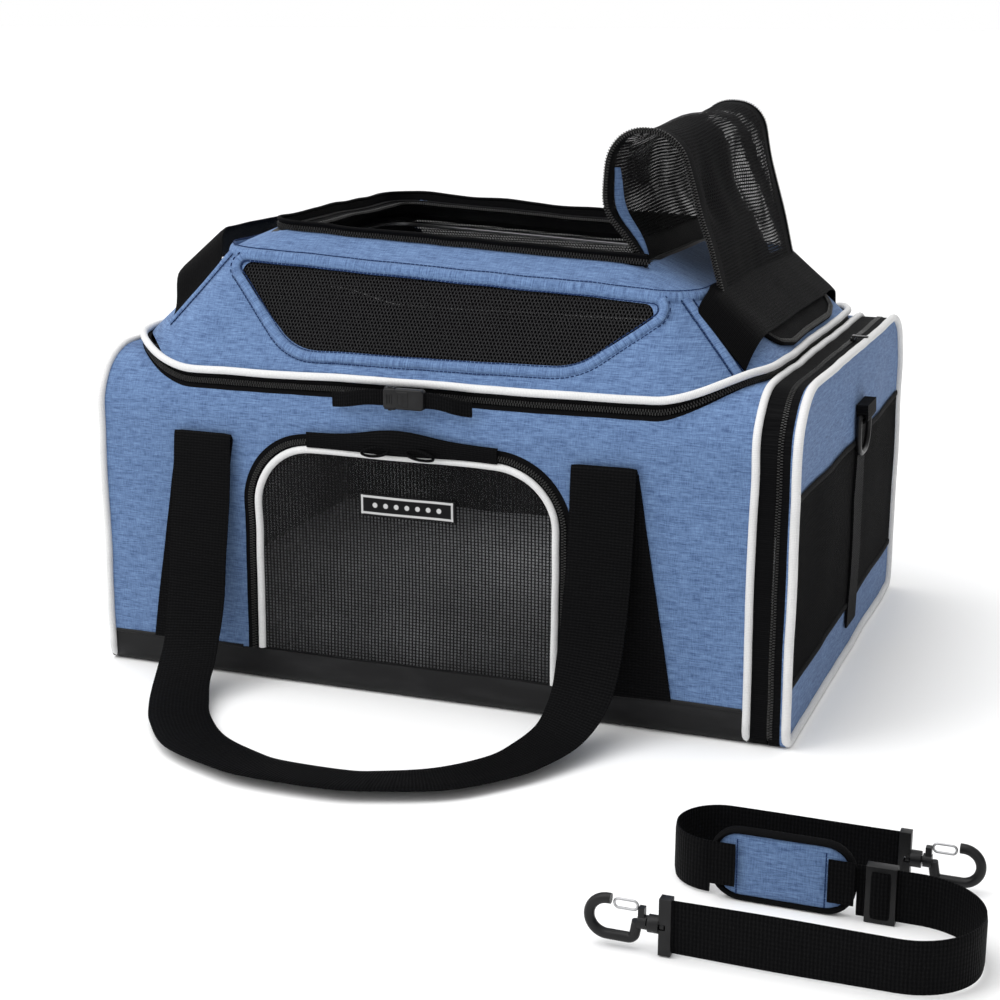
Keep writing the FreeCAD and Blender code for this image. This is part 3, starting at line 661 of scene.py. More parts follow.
def lining():
    """Black nylon lining inside the bag, with painted highlight and shade along its creases."""
    s = Shader("black_lining", "xz")
    weave = s.times(s.ribs(s.a, 0.0011), s.ribs(s.b, 0.0011))
    crease = s.streaks(26, 34, 3.0)
    relief = s.share(weave, 0.1, crease)
    # colour follows the crease noise: lighter on the crests and darker in the folds, a painted crease highlight and
    # shade
    return s.dress((crease, (0.003, 0.0035), (0.013, 0.014)), (crease, 0.4, 0.65), (relief, 0.0012, 0.5), 0.16)


def honeycomb(name, axes, pitch, hole, dim, lit):
    """Open sport mesh: round holes in staggered rows through black knit, with a painted highlight ring, in the tone
    lit, round each hole.
    """
    s = Shader(name, axes)
    stagger = 0.866
    row = s.times(s.b, 1 / (pitch * stagger))
    shift = s.times(s.math("MODULO", s.math("FLOOR", row), 2.0), 0.5)
    col = s.math("ADD", s.times(s.a, 1 / pitch), shift)
    dx = s.minus(s.math("FRACT", col), 0.5)
    dy = s.times(s.minus(s.math("FRACT", row), 0.5), stagger)
    span = s.span(dx, dy)
    fuzz = s.streaks(1200, 1200)
    # painted highlight: a lighter ring of knit just outside each hole
    rim_glint = s.times(s.spread(span, hole, hole + 0.1), s.spread(span, hole + 0.22, hole + 0.1))
    s.see_through(s.most(s.spread(span, hole - 0.06, hole + 0.06), dim))
    tones = (0.0018, 0.002), (lit, lit * 1.03)
    return s.dress((s.times(rim_glint, fuzz), *tones), (fuzz, 0.6, 0.8), (span, 0.0006, 0.9), 0.01)


def coated_grid():
    """Door mesh: square coated net with small painted glints, see-through between its threads."""
    s = Shader("coated_grid_mesh", "xz")
    dx, dy = [
        s.math("ABSOLUTE", s.minus(s.math("FRACT", s.times(along, 1 / pitch)), 0.5))
        for along, pitch in ((s.a, 0.0022), (s.b, 0.0019))
    ]
    thread = s.most(s.spread(dx, 0.30, 0.40), s.spread(dy, 0.36, 0.44))
    # painted glints: a short bright dash in each cell, thinned out in large noise patches
    glint_dash = s.times(s.spread(dx, 0.26, 0.14), s.spread(dy, 0.46, 0.38))
    glint = s.times(glint_dash, s.spread(s.streaks(14, 10), 0.2, 0.9))
    s.see_through(s.most(s.times(thread, 0.95), 0.26))
    return s.dress((glint, (0.004, 0.0045), (0.14, 0.145)), (glint, 0.62, 0.4), (thread, 0.0004, 0.8), 0.12)


def plastic(name, low, high):
    """Moulded black plastic: fine spark grain and a little handling wear."""
    s = Shader(name, "xz")
    wear = s.streaks(120, 120, 3.0)
    tones = (0.003, 0.0035), (0.012, 0.0125)
    return s.dress((wear, *tones), (wear, low, high), (s.streaks(1700, 1700), 0.00008, 0.5), 0.22)


def plush():
    """Pale grey fleece of the padded mat."""
    s = Shader("grey_fleece", "xy")
    tuft = s.streaks(260, 260, 5.0)
    tone = s.times(tuft, s.spread(s.streaks(24, 24), 0.0, 0.8))
    return s.dress((tone, (0.30, 0.31, 0.33), (0.72, 0.73, 0.75)), (tuft, 0.85, 1.0), (tuft, 0.002, 0.8))


def steel():
    """Drawn spring steel, with marks along the wire."""
    s = Shader("spring_steel", "yz")
    drawn = s.streaks(1200, 60, 3.0)
    s.surface.inputs["Metallic"].default_value = 1.0
    return s.dress((drawn, (0.32, 0.33), (0.55, 0.56)), (drawn, 0.3, 0.5), (drawn, 0.00005, 0.4))


def label_weave():
    """Woven label: black ground, a pale border and a plain row of dots."""
    s = Shader("woven_label", "uv")
    edge_u, edge_v = [s.math("ABSOLUTE", s.minus(along, 0.5)) for along in (s.a, s.b)]
    frame_u = s.times(s.spread(edge_u, 0.455, 0.462), s.spread(edge_u, 0.482, 0.475))
    frame_v = s.times(s.spread(edge_v, 0.31, 0.34), s.spread(edge_v, 0.44, 0.41))
    inside_u, inside_v = s.math("LESS_THAN", edge_u, 0.48), s.math("LESS_THAN", edge_v, 0.44)
    border = s.most(s.times(frame_u, inside_v), s.times(frame_v, inside_u))
    cell = s.minus(s.math("FRACT", s.times(s.a, 9.0)), 0.5)
    span = s.span(s.times(cell, 0.52), s.minus(s.b, 0.5))
    dots = s.times(s.spread(span, 0.13, 0.10), s.math("LESS_THAN", edge_u, 0.39))
    ink = s.most(border, dots)
    weave = s.times(s.ribs(s.a, 0.011), s.ribs(s.b, 0.05))
    tone = s.times(ink, s.spread(weave, -1.5, 1.0))
    relief = s.share(weave, 0.3, ink)
    return s.dress((tone, (0.004, 0.0045), (0.75, 0.75)), (weave, 0.5, 0.75), (relief, 0.0002, 0.7), 0.1)


def sewing_thread():
    """Twisted dark blue thread."""
    s = Shader("dark_blue_thread", "xz")
    twist = s.ribs(s.math("ADD", s.a, s.b), 0.0006)
    tones = (0.004, 0.012, 0.045), (0.016, 0.042, 0.13)
    return s.dress((twist, *tones), (twist, 0.5, 0.7), (twist, 0.0001, 0.5), 0.1)


blue_front = heather("blue_heather_front", "xz")
blue_end = heather("blue_heather_end", "yz")
blue_top = heather("blue_heather_top", "xy")
blue_uv = heather("blue_heather_binding", "uv")
blue_thread = sewing_thread()
web_laid = webbing("black_webbing", "uv")
web_upright = webbing("black_webbing_upright", "xz")
web_end = webbing("black_webbing_end", "yz")
elastic = webbing("black_elastic", "uv", 0.0012, (0.0010, 0.0012), (0.0045, 0.005))
tape_front = tape("zip_tape_front", "xz")
tape_end = tape("zip_tape_end", "yz")
tape_top = tape("zip_tape_top", "xy")
tape_laid = tape("zip_tape_laid", "uv")
coil = coil_plastic()
white = white_piping()
black_base = coated_black()
black_lining = lining()
# window holes two-thirds filled with the dark knit colour: painted shade of the bag's inside seen through the mesh
window_net = honeycomb("window_mesh", "xz", 0.0021, 0.34, 0.66, 0.075)
flap_net = honeycomb("flap_mesh", "uv", 0.0024, 0.27, 0.42, 0.05)
flap_double = honeycomb("flap_mesh_doubled", "uv", 0.0024, 0.27, 0.95, 0.045)
pocket_net = honeycomb("pocket_mesh", "yz", 0.0022, 0.22, 0.99, 0.008)
door_net = coated_grid()
black_plastic = plastic("black_plastic", 0.3, 0.45)
black_enamel = plastic("black_enamel", 0.18, 0.32)
fleece = plush()
wire = steel()
label_cloth = label_weave()

# Kinds of cloth: their materials, outside then lining, and the slot they take.
BLUE_LONG = ([blue_front, black_lining], "fabric_blue")
BLUE_END = ([blue_end, black_lining], "fabric_blue")
BLUE_TOP = ([blue_top, black_lining], "fabric_blue")
TAPE_FRONT, TAPE_END, TAPE_TOP = [([cloth], "zip_black") for cloth in (tape_front, tape_end, tape_top)]
WEB_UPRIGHT, WEB_END = ([web_upright], "webbing_black"), ([web_end], "webbing_black")


def cloths(body, *rows):
    """Cloth for several CAD nodes of one body: name, node, kind, step and, if any, move and lining."""
    for name, node, *rest in rows:
        cloth_from_cad(name, node, body, *rest)


# ---- carrier body ---------------------------------------------------------------------------
def lined(point, normal):
    """Faces that look into the bag."""
    away = point - Vector((shell_centre, 0, 0.1))
    away.x *= 0.0 if abs(normal.x) < 0.6 else 1.0
    return normal.dot(away) < 0


def panel_puff(p):
    """How far the padded long panels stand out of flat at a place."""
    ends = near(p.x - body_left, 0.0, 0.05) * near(body_right - p.x, 0.0, 0.05)
    tall = near(p.z - base_band, 0.0, 0.04) * near(0.172 - p.z, 0.0, 0.03)
    across = max(abs(p.x - door_centre) - door_half, p.z - door_top)
    door = near(across, 0.0, 0.035) if p.y < 0 else 1.0
    strips = near(abs(abs(p.x - handle_centre) - handle_reach), 0.028, 0.060)
    return 0.0012 * ends * tall * door * strips


def panel_move(p):
    out = softened(p)
    out.y += math.copysign(panel_puff(p), p.y)
    return out


def end_move(p):
    """Cloth of the two ends, puffed in the middle."""
    out = softened(p)
    middle = near(0.15 - abs(p.y), 0.0, 0.09) * near(p.z, 0.02, 0.07) * near(0.19 - p.z, 0.0, 0.06)
    out.x += math.copysign(0.0014 * middle, p.x)
    return out


def softened_base(p):
    """Unevenness that dies out at the ground, so that the bag still stands flat."""
    out = softened(p)
    return Vector((out.x, out.y, p.z + (out.z - p.z) * near(p.z, 0.0, 0.03)))


def make_body():
    cloths(
        "carrier",
        ("front_panel_cloth", "front_panel", BLUE_LONG, 0.007, panel_move, lined),
        ("back_panel_cloth", "back_panel", BLUE_LONG, 0.009, panel_move, lined),
        ("left_end_cloth", "left_end_panel", BLUE_END, 0.010, end_move, lined),
        ("base_tray_skin", "base_tray", ([black_base, black_lining], "coated_black"), 0.012, softened_base, lined),
        ("lid_zip_tape_body", "body_lid_zip_tape", TAPE_FRONT, 0.02),
        ("end_frame_tape", "end_frame_zip_tape", TAPE_END, 0.012, softened_base),
        ("door_frame_tape", "front_frame_zip_tape", TAPE_FRONT, 0.012),
        ("handle_anchor_webbing", "handle_anchors", WEB_UPRIGHT, 0.010, panel_move),
    )
    form = Form()
    for x in (body_left + 0.0021, body_right - 0.0021):
        form.sweep([softened_base(p) for p in end_path(x, 0.0004)], RIGHT, piping_radius, piping_radius, True)
    form.piece("end_piping_cord", "carrier", white, "piping_white", ("end_pipings",))
    base_seam()
    assign("end_frame_wires", wire)
    assign("base_board", black_plastic)


def base_seam():
    """Stitched turned edge where the blue panels meet the black base."""
    ends = [Vector((x, -half_width - 0.0003, base_band)) for x in (body_right - 0.005, body_left + 0.005)]
    line = resampled(ends, edge_step)
    front = [softened_base(p) for p in line]
    beside_door = [p for p in front if abs(p.x - door_centre) > door_half]
    back = [softened_base(Vector((p.x, -p.y, p.z))) for p in line]
    form = Form()
    for part, up in (
        ([p for p in beside_door if p.x > door_centre], FRONT),
        ([p for p in beside_door if p.x <= door_centre], FRONT),
        (back, BACK),
    ):
        form.sweep(part, up, 0.0012, 0.0009, sides=8)
    form.piece("base_seam", "carrier", black_base, "coated_black")


def assign(node, material):
    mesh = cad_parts[node].data
    mesh.materials.clear()
    mesh.materials.append(material)


# ---- lid ---------------------------------------------------------------------------------------
def lid_inside(point, normal):
    """Faces that look in under the dome."""
    return normal.z <= 0.8 and normal.dot(point - Vector((shell_centre, 0, 0.12))) < 0


def frame_inside(point, normal):
    """Lining, and the taped lip that stands inside the collar."""
    lip = abs(point.x - shell_centre) < collar_x - 0.001 and abs(point.y) < collar_y - 0.001
    return lip or lid_inside(point, normal)


def lid_tree():
    """Search tree of the lid's outer surface."""
    bm = bmesh.new()
    for part in ("front_slope", "back_slope", "right_slope", "left_slope", "top_frame"):
        bm.from_mesh(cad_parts["lid_" + part].data)
    tree = BVHTree.FromBMesh(bm)
    bm.free()
    return tree


def hip_ends(side_x, side_y):
    """Plan ends of one hip seam, from the ridge to the rim."""
    bevel = ridge_corner * (1 - math.sqrt(0.5))
    start = Vector((ridge_centre + side_x * (ridge_x - bevel), side_y * (ridge_y - bevel), 0))
    turn = math.radians(33)
    end_x = lid_half_x - lid_corner * (1 - math.cos(turn)) - 0.002
    end_y = lid_half_y - lid_corner * (1 - math.sin(turn)) - 0.001
    centre = shell_centre if side_x > 0 else shell_centre + 2 * (ridge_centre - shell_centre)
    return start, Vector((centre + side_x * end_x, side_y * end_y, 0))


def make_lid(tree):
    cloths(
        "lid",
        ("front_slope_cloth", "lid_front_slope", BLUE_LONG, 0.007, softened, lid_inside),
        ("back_slope_cloth", "lid_back_slope", BLUE_LONG, 0.009, softened, lid_inside),
        ("right_slope_cloth", "lid_right_slope", BLUE_END, 0.007, softened, lid_inside),
        ("left_slope_cloth", "lid_left_slope", BLUE_END, 0.009, softened, lid_inside),
        ("top_frame_cloth", "lid_top_frame", BLUE_TOP, 0.004, softened, frame_inside),
        ("window_mesh_panes", "lid_mesh_windows", ([window_net], "mesh_black"), 0.01),
        ("lid_zip_tape_cloth", "lid_zip_tape", TAPE_FRONT, 0.02),
        ("opening_tape_cloth", "top_opening_zip_tape", TAPE_TOP, 0.012),
    )
    assign("lid_frame_wire", wire)
    rim, zip_line = [
        [softened(p) for p in path] for path in (rim_path(0.0012, 0.0062), rim_path(0.0008, 0.0016, coil_pitch))
    ]
    form = Form()
    form.sweep(rim, [outward(p) for p in rim], piping_radius, piping_radius, True)
    form.piece("lid_rim_piping", "lid", white, "piping_white", ("lid_piping",))
    coils = Form()
    coils.zip_coil(zip_line, [outward(p) for p in zip_line], True)
    inset = 0.0122
    opening = rectangle(shell_centre, crown_x - inset, crown_y - inset, 0.012, crown_z - 0.0006, coil_pitch)
    coils.zip_coil([softened(p) for p in tilted(opening)], UP, True)
    coils.piece("lid_zip_coils", "lid", coil, "zip_black")
    bindings(tree)
    elastic_bands(tree)
    opening_collar()


def elastic_bands(tree):
    """Wide bands sewn down at the hips; the right one holds the flap, the left one is slack."""
    form = Form()
    for way, edges_x, rise in ((1, (0.1475, 0.1775), 0.0044), (-1, (-0.1520, -0.1800), 0.013)):
        top, low = hip_ends(way, 1)
        edges = []
        for x in edges_x:
            share = (abs(x) - abs(top.x)) / (abs(low.x) - abs(top.x))
            reach = top.y + (low.y - top.y) * max(0.0, share)
            run = []
            for k in range(61):
                v = k / 60 * 2 - 1
                place, normal = dropped([Vector((x, v * reach, 0))], tree, 0.0)
                if place:
                    lift = 0.0012 + rise * near(1 - abs(v), 0.0, 0.22)
                    run.append(softened(place[0] + normal[0] * lift))
            edges.append(resampled(run, 0.0042))
        short = min(len(run) for run in edges)
        form.band(list(zip(*[resampled_to(run, short) for run in edges][::way])), 0.0015, 10)
    form.piece("elastic_bands_cloth", "lid", elastic, "elastic_black", ("lid_elastic_bands",), smooth_form)


def opening_collar():
    """Upright black tape round the top opening, with its half of the zip on the outside."""
    corners = [
        Vector((shell_centre + a * collar_x, b * collar_y, crown_z)) for a, b in ((1, -1), (-1, -1), (-1, 1), (1, 1))
    ]

    def rows_at(step):
        line = tilted(rounded_path(corners, [0, collar_bend, collar_bend, 0], False, step))
        rows = []
        for p, way in zip(line, tangents(line, False)):
            out = way.cross(UP).normalized()
            if out.dot(Vector((p.x - shell_centre, p.y, 0))) < 0:
                out = -out
            rise = 0.0062 + 0.0010 * noise.noise(p / 0.03)
            low = softened(p - Vector((0, 0, 0.0012)) + out * 0.0004)
            rows.append((low, low + Vector((0, 0, rise)) + out * 0.0010, out))
        return rows

    band, teeth = Form(), Form()
    rows = rows_at(0.004)
    band.band([row[:2] for row in rows], 0.0012, 5)
    band.sweep([row[1] for row in rows], [row[2] for row in rows], 0.0011, 0.0012, sides=8)
    band.piece("opening_collar_tape", "lid", tape_laid, "zip_black")
    rows = rows_at(0.0017)
    teeth.zip_coil([a.lerp(b, 0.42) + out * 0.0011 for a, b, out in rows], [row[2] for row in rows])
    teeth.piece("opening_zip_coil", "lid", coil, "zip_black")


def outward(p):
    """Sideways and slightly up, away from the bag's middle."""
    x = max(abs(p.x - shell_centre) - lid_half_x + lid_corner, 0.0)
    y = max(abs(p.y) - lid_half_y + lid_corner, 0.0)
    return Vector((math.copysign(x, p.x - shell_centre), math.copysign(y, p.y), 0.012)).normalized()


def bindings(tree):
    """Rolled seams along the ridge, hips and windows, with stitches on both sides."""
    ridge = tilted(rectangle(ridge_centre, ridge_x, ridge_y, ridge_corner, ridge_z, stitch_pitch))
    ups = [(p - Vector((ridge_centre, 0, 0.19))).normalized() for p in ridge]
    seams = [([p + u * 0.0004 for p, u in zip(ridge, ups)], ups, True, 0.0031)]
    for side_x, side_y in ((-1, -1), (-1, 1), (1, -1), (1, 1)):
        line, _ = dropped(resampled(list(hip_ends(side_x, side_y)), stitch_pitch), tree, 0.0004)
        line, normals = dropped(resampled(line, stitch_pitch), tree, 0.0004)
        seams.append((line, normals, False, 0.0029))
    for side in (-1, 1):
        line = window_path(side, 0.0032, stitch_pitch)
        seams.append((line, each(Vector((0, side * 0.864, 0.503)), line), True, 0.0026))
    binding, thread = Form(), Form()
    for line, normals, closed, half in seams:
        soft = [softened(p) for p in line]
        binding.sweep(soft, normals, half, 0.0013, closed, 12)
        ways = tangents(soft, closed)
        for off in (-half - 0.0009, half + 0.0009):
            row = [p + way.cross(up).normalized() * off + up * 0.0001 for p, way, up in zip(soft, ways, normals)]
            thread.stitches(row, normals, closed)
    binding.piece("seam_bindings", "lid", blue_uv, "fabric_blue")
    thread.piece("seam_stitches", "lid", blue_thread, "fabric_blue")


# ---- rolled-back top flap -------------------------------------------------------------------
def flap_line(tree):
    """Side line of the flap: from its hinge up, over and down to its tongue."""
    hinge_x, top_z = 0.107, 0.338
    marks, _ = dropped([Vector((x, 0, 0)) for x in (0.154, 0.1865)], tree, 0.0018)
    hinge = Vector((hinge_x, 0, 0.2572))
    corners = [
        hinge,
        hinge + Vector((-0.022, 0, 0.034)),
        Vector((hinge_x - 0.018, 0, top_z)),
        Vector((hinge_x + 0.022, 0, top_z - 0.002)),
        *marks,
    ]
    return rounded_path(corners, [0, 0.034, 0.022, 0.021, 0.012, 0], False, 0.004)


def flap_row(p, share, left, cols):
    """Points across the flap at one place of its side line, creased and slightly skewed."""
    round_end = 0.040
    pinch = round_end - math.sqrt(round_end**2 - (round_end - left) ** 2) if left < round_end else 0.0
    high = near(p.z, 0.262, 0.30)
    down = near(share, 0.42, 0.6) * near(1 - share, 0.12, 0.3)
    row = []
    for j in range(cols):
        v = j / (cols - 1) * 2 - 1
        q = Vector((p.x, v * (flap_half - pinch), p.z))
        crease = math.sin(v * 8 + share * 5) * 0.55 + math.sin(v * 15 - share * 8) * 0.3
        q.x += high * (crease * 0.0036 * down + 0.0020 * v - 0.004 * down * (1 - v * v))
        q.z += high * (0.0038 * v - 0.0022 + 0.0008 * math.sin(v * 6 + 1.3))
        row.append(softened(q, 0.0011))
    return row


def flap_rim(rim, step):
    """Points round the flap's edge, and the way out of it: sideways, or up on the tongue."""
    run = resampled(rim, step)
    ups = []
    for p in run:
        tongue = near(p.x, 0.150, 0.176) if p.z < 0.26 else 0.0
        aside = Vector((0, math.copysign(1.0, p.y), 0.25))
        ups.append((aside * (1 - tongue) + Vector((0.3, 0, 1)) * tongue).normalized())
    return run, ups


def make_flap(tree):
    """Mesh flap rolled back over the right end, with its zip, edge cord and storage band."""
    line = flap_line(tree)
    rows, cols, edge = len(line), 47, 3
    grid = []
    for i, p in enumerate(line):
        share = i / (rows - 1)
        grid.append(flap_row(p, share, (line[-1] - p).length if share > 0.6 else 1.0, cols))

    def zone(i, j):
        """Slot of a face: 0 the border's tape, 1 single mesh, 2 doubled mesh."""
        if j < edge or j >= cols - 1 - edge or i > rows - 5 or i < 3:
            return 0
        share = i / (rows - 1)
        off = j / (cols - 1) * 2 - 1 - (0.1 + (share - 0.45) * 1.4)
        return 1 if share < 0.36 or (share < 0.82 and (abs(off) < 0.20 or abs(off - 0.5) < 0.09)) else 2

    form = Form()
    form.sheet(grid, 0.0012, zone)
    kinds, stands_for = [tape_laid, flap_net, flap_double], ("top_flap", "top_flap_zip_edge")
    flap = form.piece("rolled_top_flap", "lid", kinds, "mesh_black", stands_for, smooth_form)
    rim = [row[0] for row in grid] + grid[-1][1:-1] + [row[-1] for row in reversed(grid)]
    cord, teeth, blue = Form(), Form(), Form()
    cord.sweep(*flap_rim(rim, 0.004), 0.0015, 0.0016, sides=8)
    cord.piece("flap_edge_cord", "lid", tape_laid, "zip_black")
    run, ups = flap_rim(rim, coil_pitch)
    teeth.zip_coil([p + u * 0.0017 for p, u in zip(run, ups)], ups)
    teeth.piece("flap_zip_coil", "lid", coil, "zip_black")
    pairs = []
    part = 0.27  # of the flap's length that the band runs along
    for i in range(1, int(rows * part)):
        swell = math.sin(math.pi * min(1.0, (i / rows) / part * 0.97))
        inward = Vector((0.0022 + 0.004 * swell, 0, 0))
        wide = 0.0004 + 0.0044 * swell
        pairs.append((grid[i][2] + inward * 0.5, grid[i][2] + inward + Vector((0.3 * wide, wide, 0))))
    blue.band(pairs, 0.0016, 4)
    blue.piece("flap_storage_band", "lid", blue_uv, "fabric_blue")


# ---- front door --------------------------------------------------------------------------------
def door_sag(p):
    """Slack of the door's net between its piping."""
    wide = near(door_half - 0.012 - abs(p.x - door_centre), 0.0, 0.06)
    tall = near(p.z - door_foot, 0.0, 0.04) * near(0.142 - p.z, 0.0, 0.05)
    out = softened(p, 0.0008)
    out.y += 0.0016 * wide * tall
    return out


def make_front_door():
    cloths(
        "front_door",
        ("door_net", "front_door_mesh", ([door_net], "mesh_door"), 0.009, door_sag),
        ("door_tape", "front_door_zip_tape", TAPE_FRONT, 0.012),
    )
    cord, teeth = Form(), Form()
    line = arch_path(2 * zip_half + zip_gap + 0.0021, -half_width - 0.0001)
    cord.sweep([softened(p) for p in line], FRONT, piping_radius, piping_radius)
    cord.piece("door_piping_cord", "front_door", white, "piping_white", ("front_door_piping",))
    line = arch_path(zip_half + zip_gap + 0.0006, -half_width - 0.0008, coil_pitch)
    teeth.zip_coil([softened(p) for p in line], FRONT)
    teeth.piece("door_zip_coil", "front_door", coil, "zip_black")
    cover_flap()
    label()
    for side, way in (("left", -1), ("right", 1)):
        pull_loop("door_slider_" + side, side, way)


def cover_flap():
    """Flap of webbing over the top of the door's zip, humped over the sliders."""
    low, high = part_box("door_zip_cover")
    cols, rows = 49, 9
    grid = []
    for i in range(rows):
        up = i / (rows - 1)
        row = []
        for j in range(cols):
            x = low.x + (high.x - low.x) * j / (cols - 1)
            off = (x - door_centre + 0.001) / 0.026
            hump = math.exp(-off * off)
            z = low.z + 0.001 + (high.z - low.z - 0.001) * up + hump * 0.0055 * up
            y = -0.1668 - 0.0030 * hump - 0.0016 * math.sin(up * math.pi) * (0.4 + hump)
            row.append(softened(Vector((x, y, z)), 0.0007))
        grid.append(row)
    form = Form()
    form.sheet(grid, 0.0014)
    flap = form.piece("zip_cover_flap", "front_door", web_laid, "webbing_black", ("door_zip_cover",), smooth_form)


def pull_loop(body, side, way):
    """A door slider, and its loop of cord tucked under the flap."""
    low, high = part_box(body)
    x = (low.x + high.x) / 2
    points, count = [], 28
    for k in range(count):
        turn = 2 * math.pi * k / count
        z = 0.1512 + 0.0026 * math.sin(turn) - 0.0012 * math.cos(turn)
        points.append(Vector((x + way * (0.006 + 0.0085 * math.cos(turn)), -0.1716 - 0.0006 * math.sin(turn * 2), z)))
    form, metal = Form(), Form()
    form.sweep(points, FRONT, cord_radius, cord_radius, True, 8)
    form.piece("zip_pull_loop_" + side, body, web_laid, "webbing_black")
    seat = Vector((x, -0.1664, 0.1520))
    metal.block(seat, RIGHT, FRONT, 0.0072, 0.0056, 0.0022)
    metal.block(seat + FRONT * 0.0015 - Vector((way * 0.001, 0, 0)), RIGHT, FRONT, 0.0044, 0.0022, 0.0018)
    metal.piece("door_zip_slider_" + side, body, black_enamel, "zip_metal", (body,))


def label():
    """Small woven label on the door's net."""
    low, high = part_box("label_patch")
    size = high - low
    grid = [
        [
            door_sag(Vector((low.x + size.x * j / 16, low.y, low.z + size.z * i / 4))) + Vector((0, 0.0002, 0))
            for j in range(17)
        ]
        for i in range(5)
    ]
    form = Form()
    form.sheet(grid, 0.0009)
    form.flat = [(u / size.x, v / size.z) for u, v in form.flat]
    form.piece("door_label", "front_door", label_cloth, "label", ("label_patch",), smooth_form)


# ---- end door -----------------------------------------------------------------------------------
def make_end_door():
    cloths(
        "end_door",
        ("end_door_cloth", "end_door_panel", BLUE_END, 0.008, end_move, lined),
        ("end_door_tape", "end_door_zip_tape", TAPE_END, 0.012, softened_base),
        ("end_pocket_net", "end_door_pocket", ([pocket_net], "mesh_black"), 0.010, end_move),
        ("end_strip_webbing", "end_ring_strip", WEB_END, 0.012, end_move),
    )
    cloths("carrier", ("left_strip_webbing", "left_ring_strip", WEB_END, 0.012, end_move))
    cord, teeth, edging = Form(), Form(), Form()
    line = [softened_base(p) for p in end_path(door_face + 0.0006, 0.0004)]
    cord.sweep(line, RIGHT, piping_radius, 0.0026, True)
    cord.piece("end_door_piping_cord", "end_door", white, "piping_white", ("end_door_piping",))
    zip_x = body_right + 0.0112
    line = [softened_base(p) for p in end_path(zip_x, 0.0001, coil_pitch)]
    line = [p for p in line if p.z > 0.004]
    teeth.zip_coil(line, [(p - Vector((zip_x, 0, 0.1))).normalized() for p in line])
    teeth.piece("end_zip_coil", "end_door", coil, "zip_black")
    reach = half_width - 0.0055
    for z in pocket_edges:
        run = resampled([Vector((door_face + 0.0009, y, z)) for y in (-reach, reach)], edge_step)
        edging.sweep([end_move(p) for p in run], RIGHT, 0.0022, 0.0008, sides=8)
    edging.piece("pocket_edging", "end_door", tape_end, "zip_black")
    assign("end_ring", black_plastic)
    assign("left_ring", black_plastic)
    moulded("end_zip_slider", "end_door_slider", "end_door_slider", black_enamel, 0.0003)


# ---- carry handles -------------------------------------------------------------------------------
def handle_rows():
    """Edge pairs of the front handle from its right fold to its left fold, x from its middle."""
    outer = handle_reach + webbing_half
    inner = handle_reach - webbing_half
    # Outer edge, then inner edge: how far it has come in, its depth and its height.
    drops = [
        (0, 0.0012, 0.1496, 0, 0.0012, 0.1496),
        (0, 0.0004, 0.1520, 0, 0.0004, 0.1520),
        (0, -0.0014, 0.1505, 0, -0.0014, 0.1505),
        (0, -0.004, 0.125, 0, -0.004, 0.125),
        (0, -0.008, 0.100, 0, -0.008, 0.100),
        (0.0002, -0.012, 0.080, 0.0002, -0.012, 0.080),
        (0.001, -0.0165, 0.060, 0.0005, -0.0155, 0.060),
        (0.002, -0.0225, 0.043, 0.0008, -0.0205, 0.045),
        (0.004, -0.031, 0.028, 0.001, -0.027, 0.031),
        (0.0075, -0.045, 0.0175, 0.0025, -0.0345, 0.021),
        (0.013, -0.061, 0.011, 0.005, -0.045, 0.0135),
        (0.022, -0.080, 0.008, 0.012, -0.059, 0.008),
        (0.034, -0.099, 0.0065, 0.0215, -0.0745, 0.0045),
        (0.061, -0.128, 0.0065, 0.043, -0.096, 0.003),
        (0.101, -0.146, 0.0070, 0.071, -0.109, 0.002),
    ]
    right = [(Vector((outer - a, b, c)), Vector((inner - d, e, f))) for a, b, c, d, e, f in drops]
    right.append((Vector((0.020, -0.151, 0.0072)), Vector((0.018, -0.114, 0.002))))
    return right + [tuple(Vector((-p.x, p.y, p.z)) for p in pair) for pair in reversed(right)]


def curved(points, steps):
    """Catmull-Rom curve through points."""
    out = []
    last = len(points) - 1
    for i in range(last):
        p0, p1, p2, p3 = points[max(i - 1, 0)], points[i], points[i + 1], points[min(i + 2, last)]
        for k in range(steps):
            t = k / steps
            bend = (p0 * 2 - p1 * 5 + p2 * 4 - p3) * t**2
            out.append((p1 * 2 + (p2 - p0) * t + bend + (p1 * 3 - p0 - p2 * 3 + p3) * t**3) * 0.5)
    return out + [points[last]]


def make_handle(name, side):
    def placed(v):
        w = Vector((handle_centre + v.x, (handle_axis_y + v.y) * -side, v.z))
        return w + noise.noise_vector(w / 0.05) * 0.0006 * near(w.z, 0.0, 0.02)

    edges = [curved(edge, 7) for edge in zip(*handle_rows())]
    form = Form()
    form.band([(placed(p), placed(q)) for p, q in zip(*edges)], webbing_thick)
    form.piece(name + "_webbing", name, web_laid, "webbing_black", (name,), smooth_form)


# ---- buckle ---------------------------------------------------------------------------------------
def plate(name, body, right, z, front, back, node):
    """Moulded plate, its outline given along its upper edge and mirrored below."""
    outline = [Vector((x, 0, z + dz)) for x, dz in right + [(x, -dz) for x, dz in reversed(right)]]
    mesh = prism(name, outline, front, back)
    round_edges(finished(mesh, name, body, [black_plastic], (node,), smooth_moulded), 0.0009, 30)


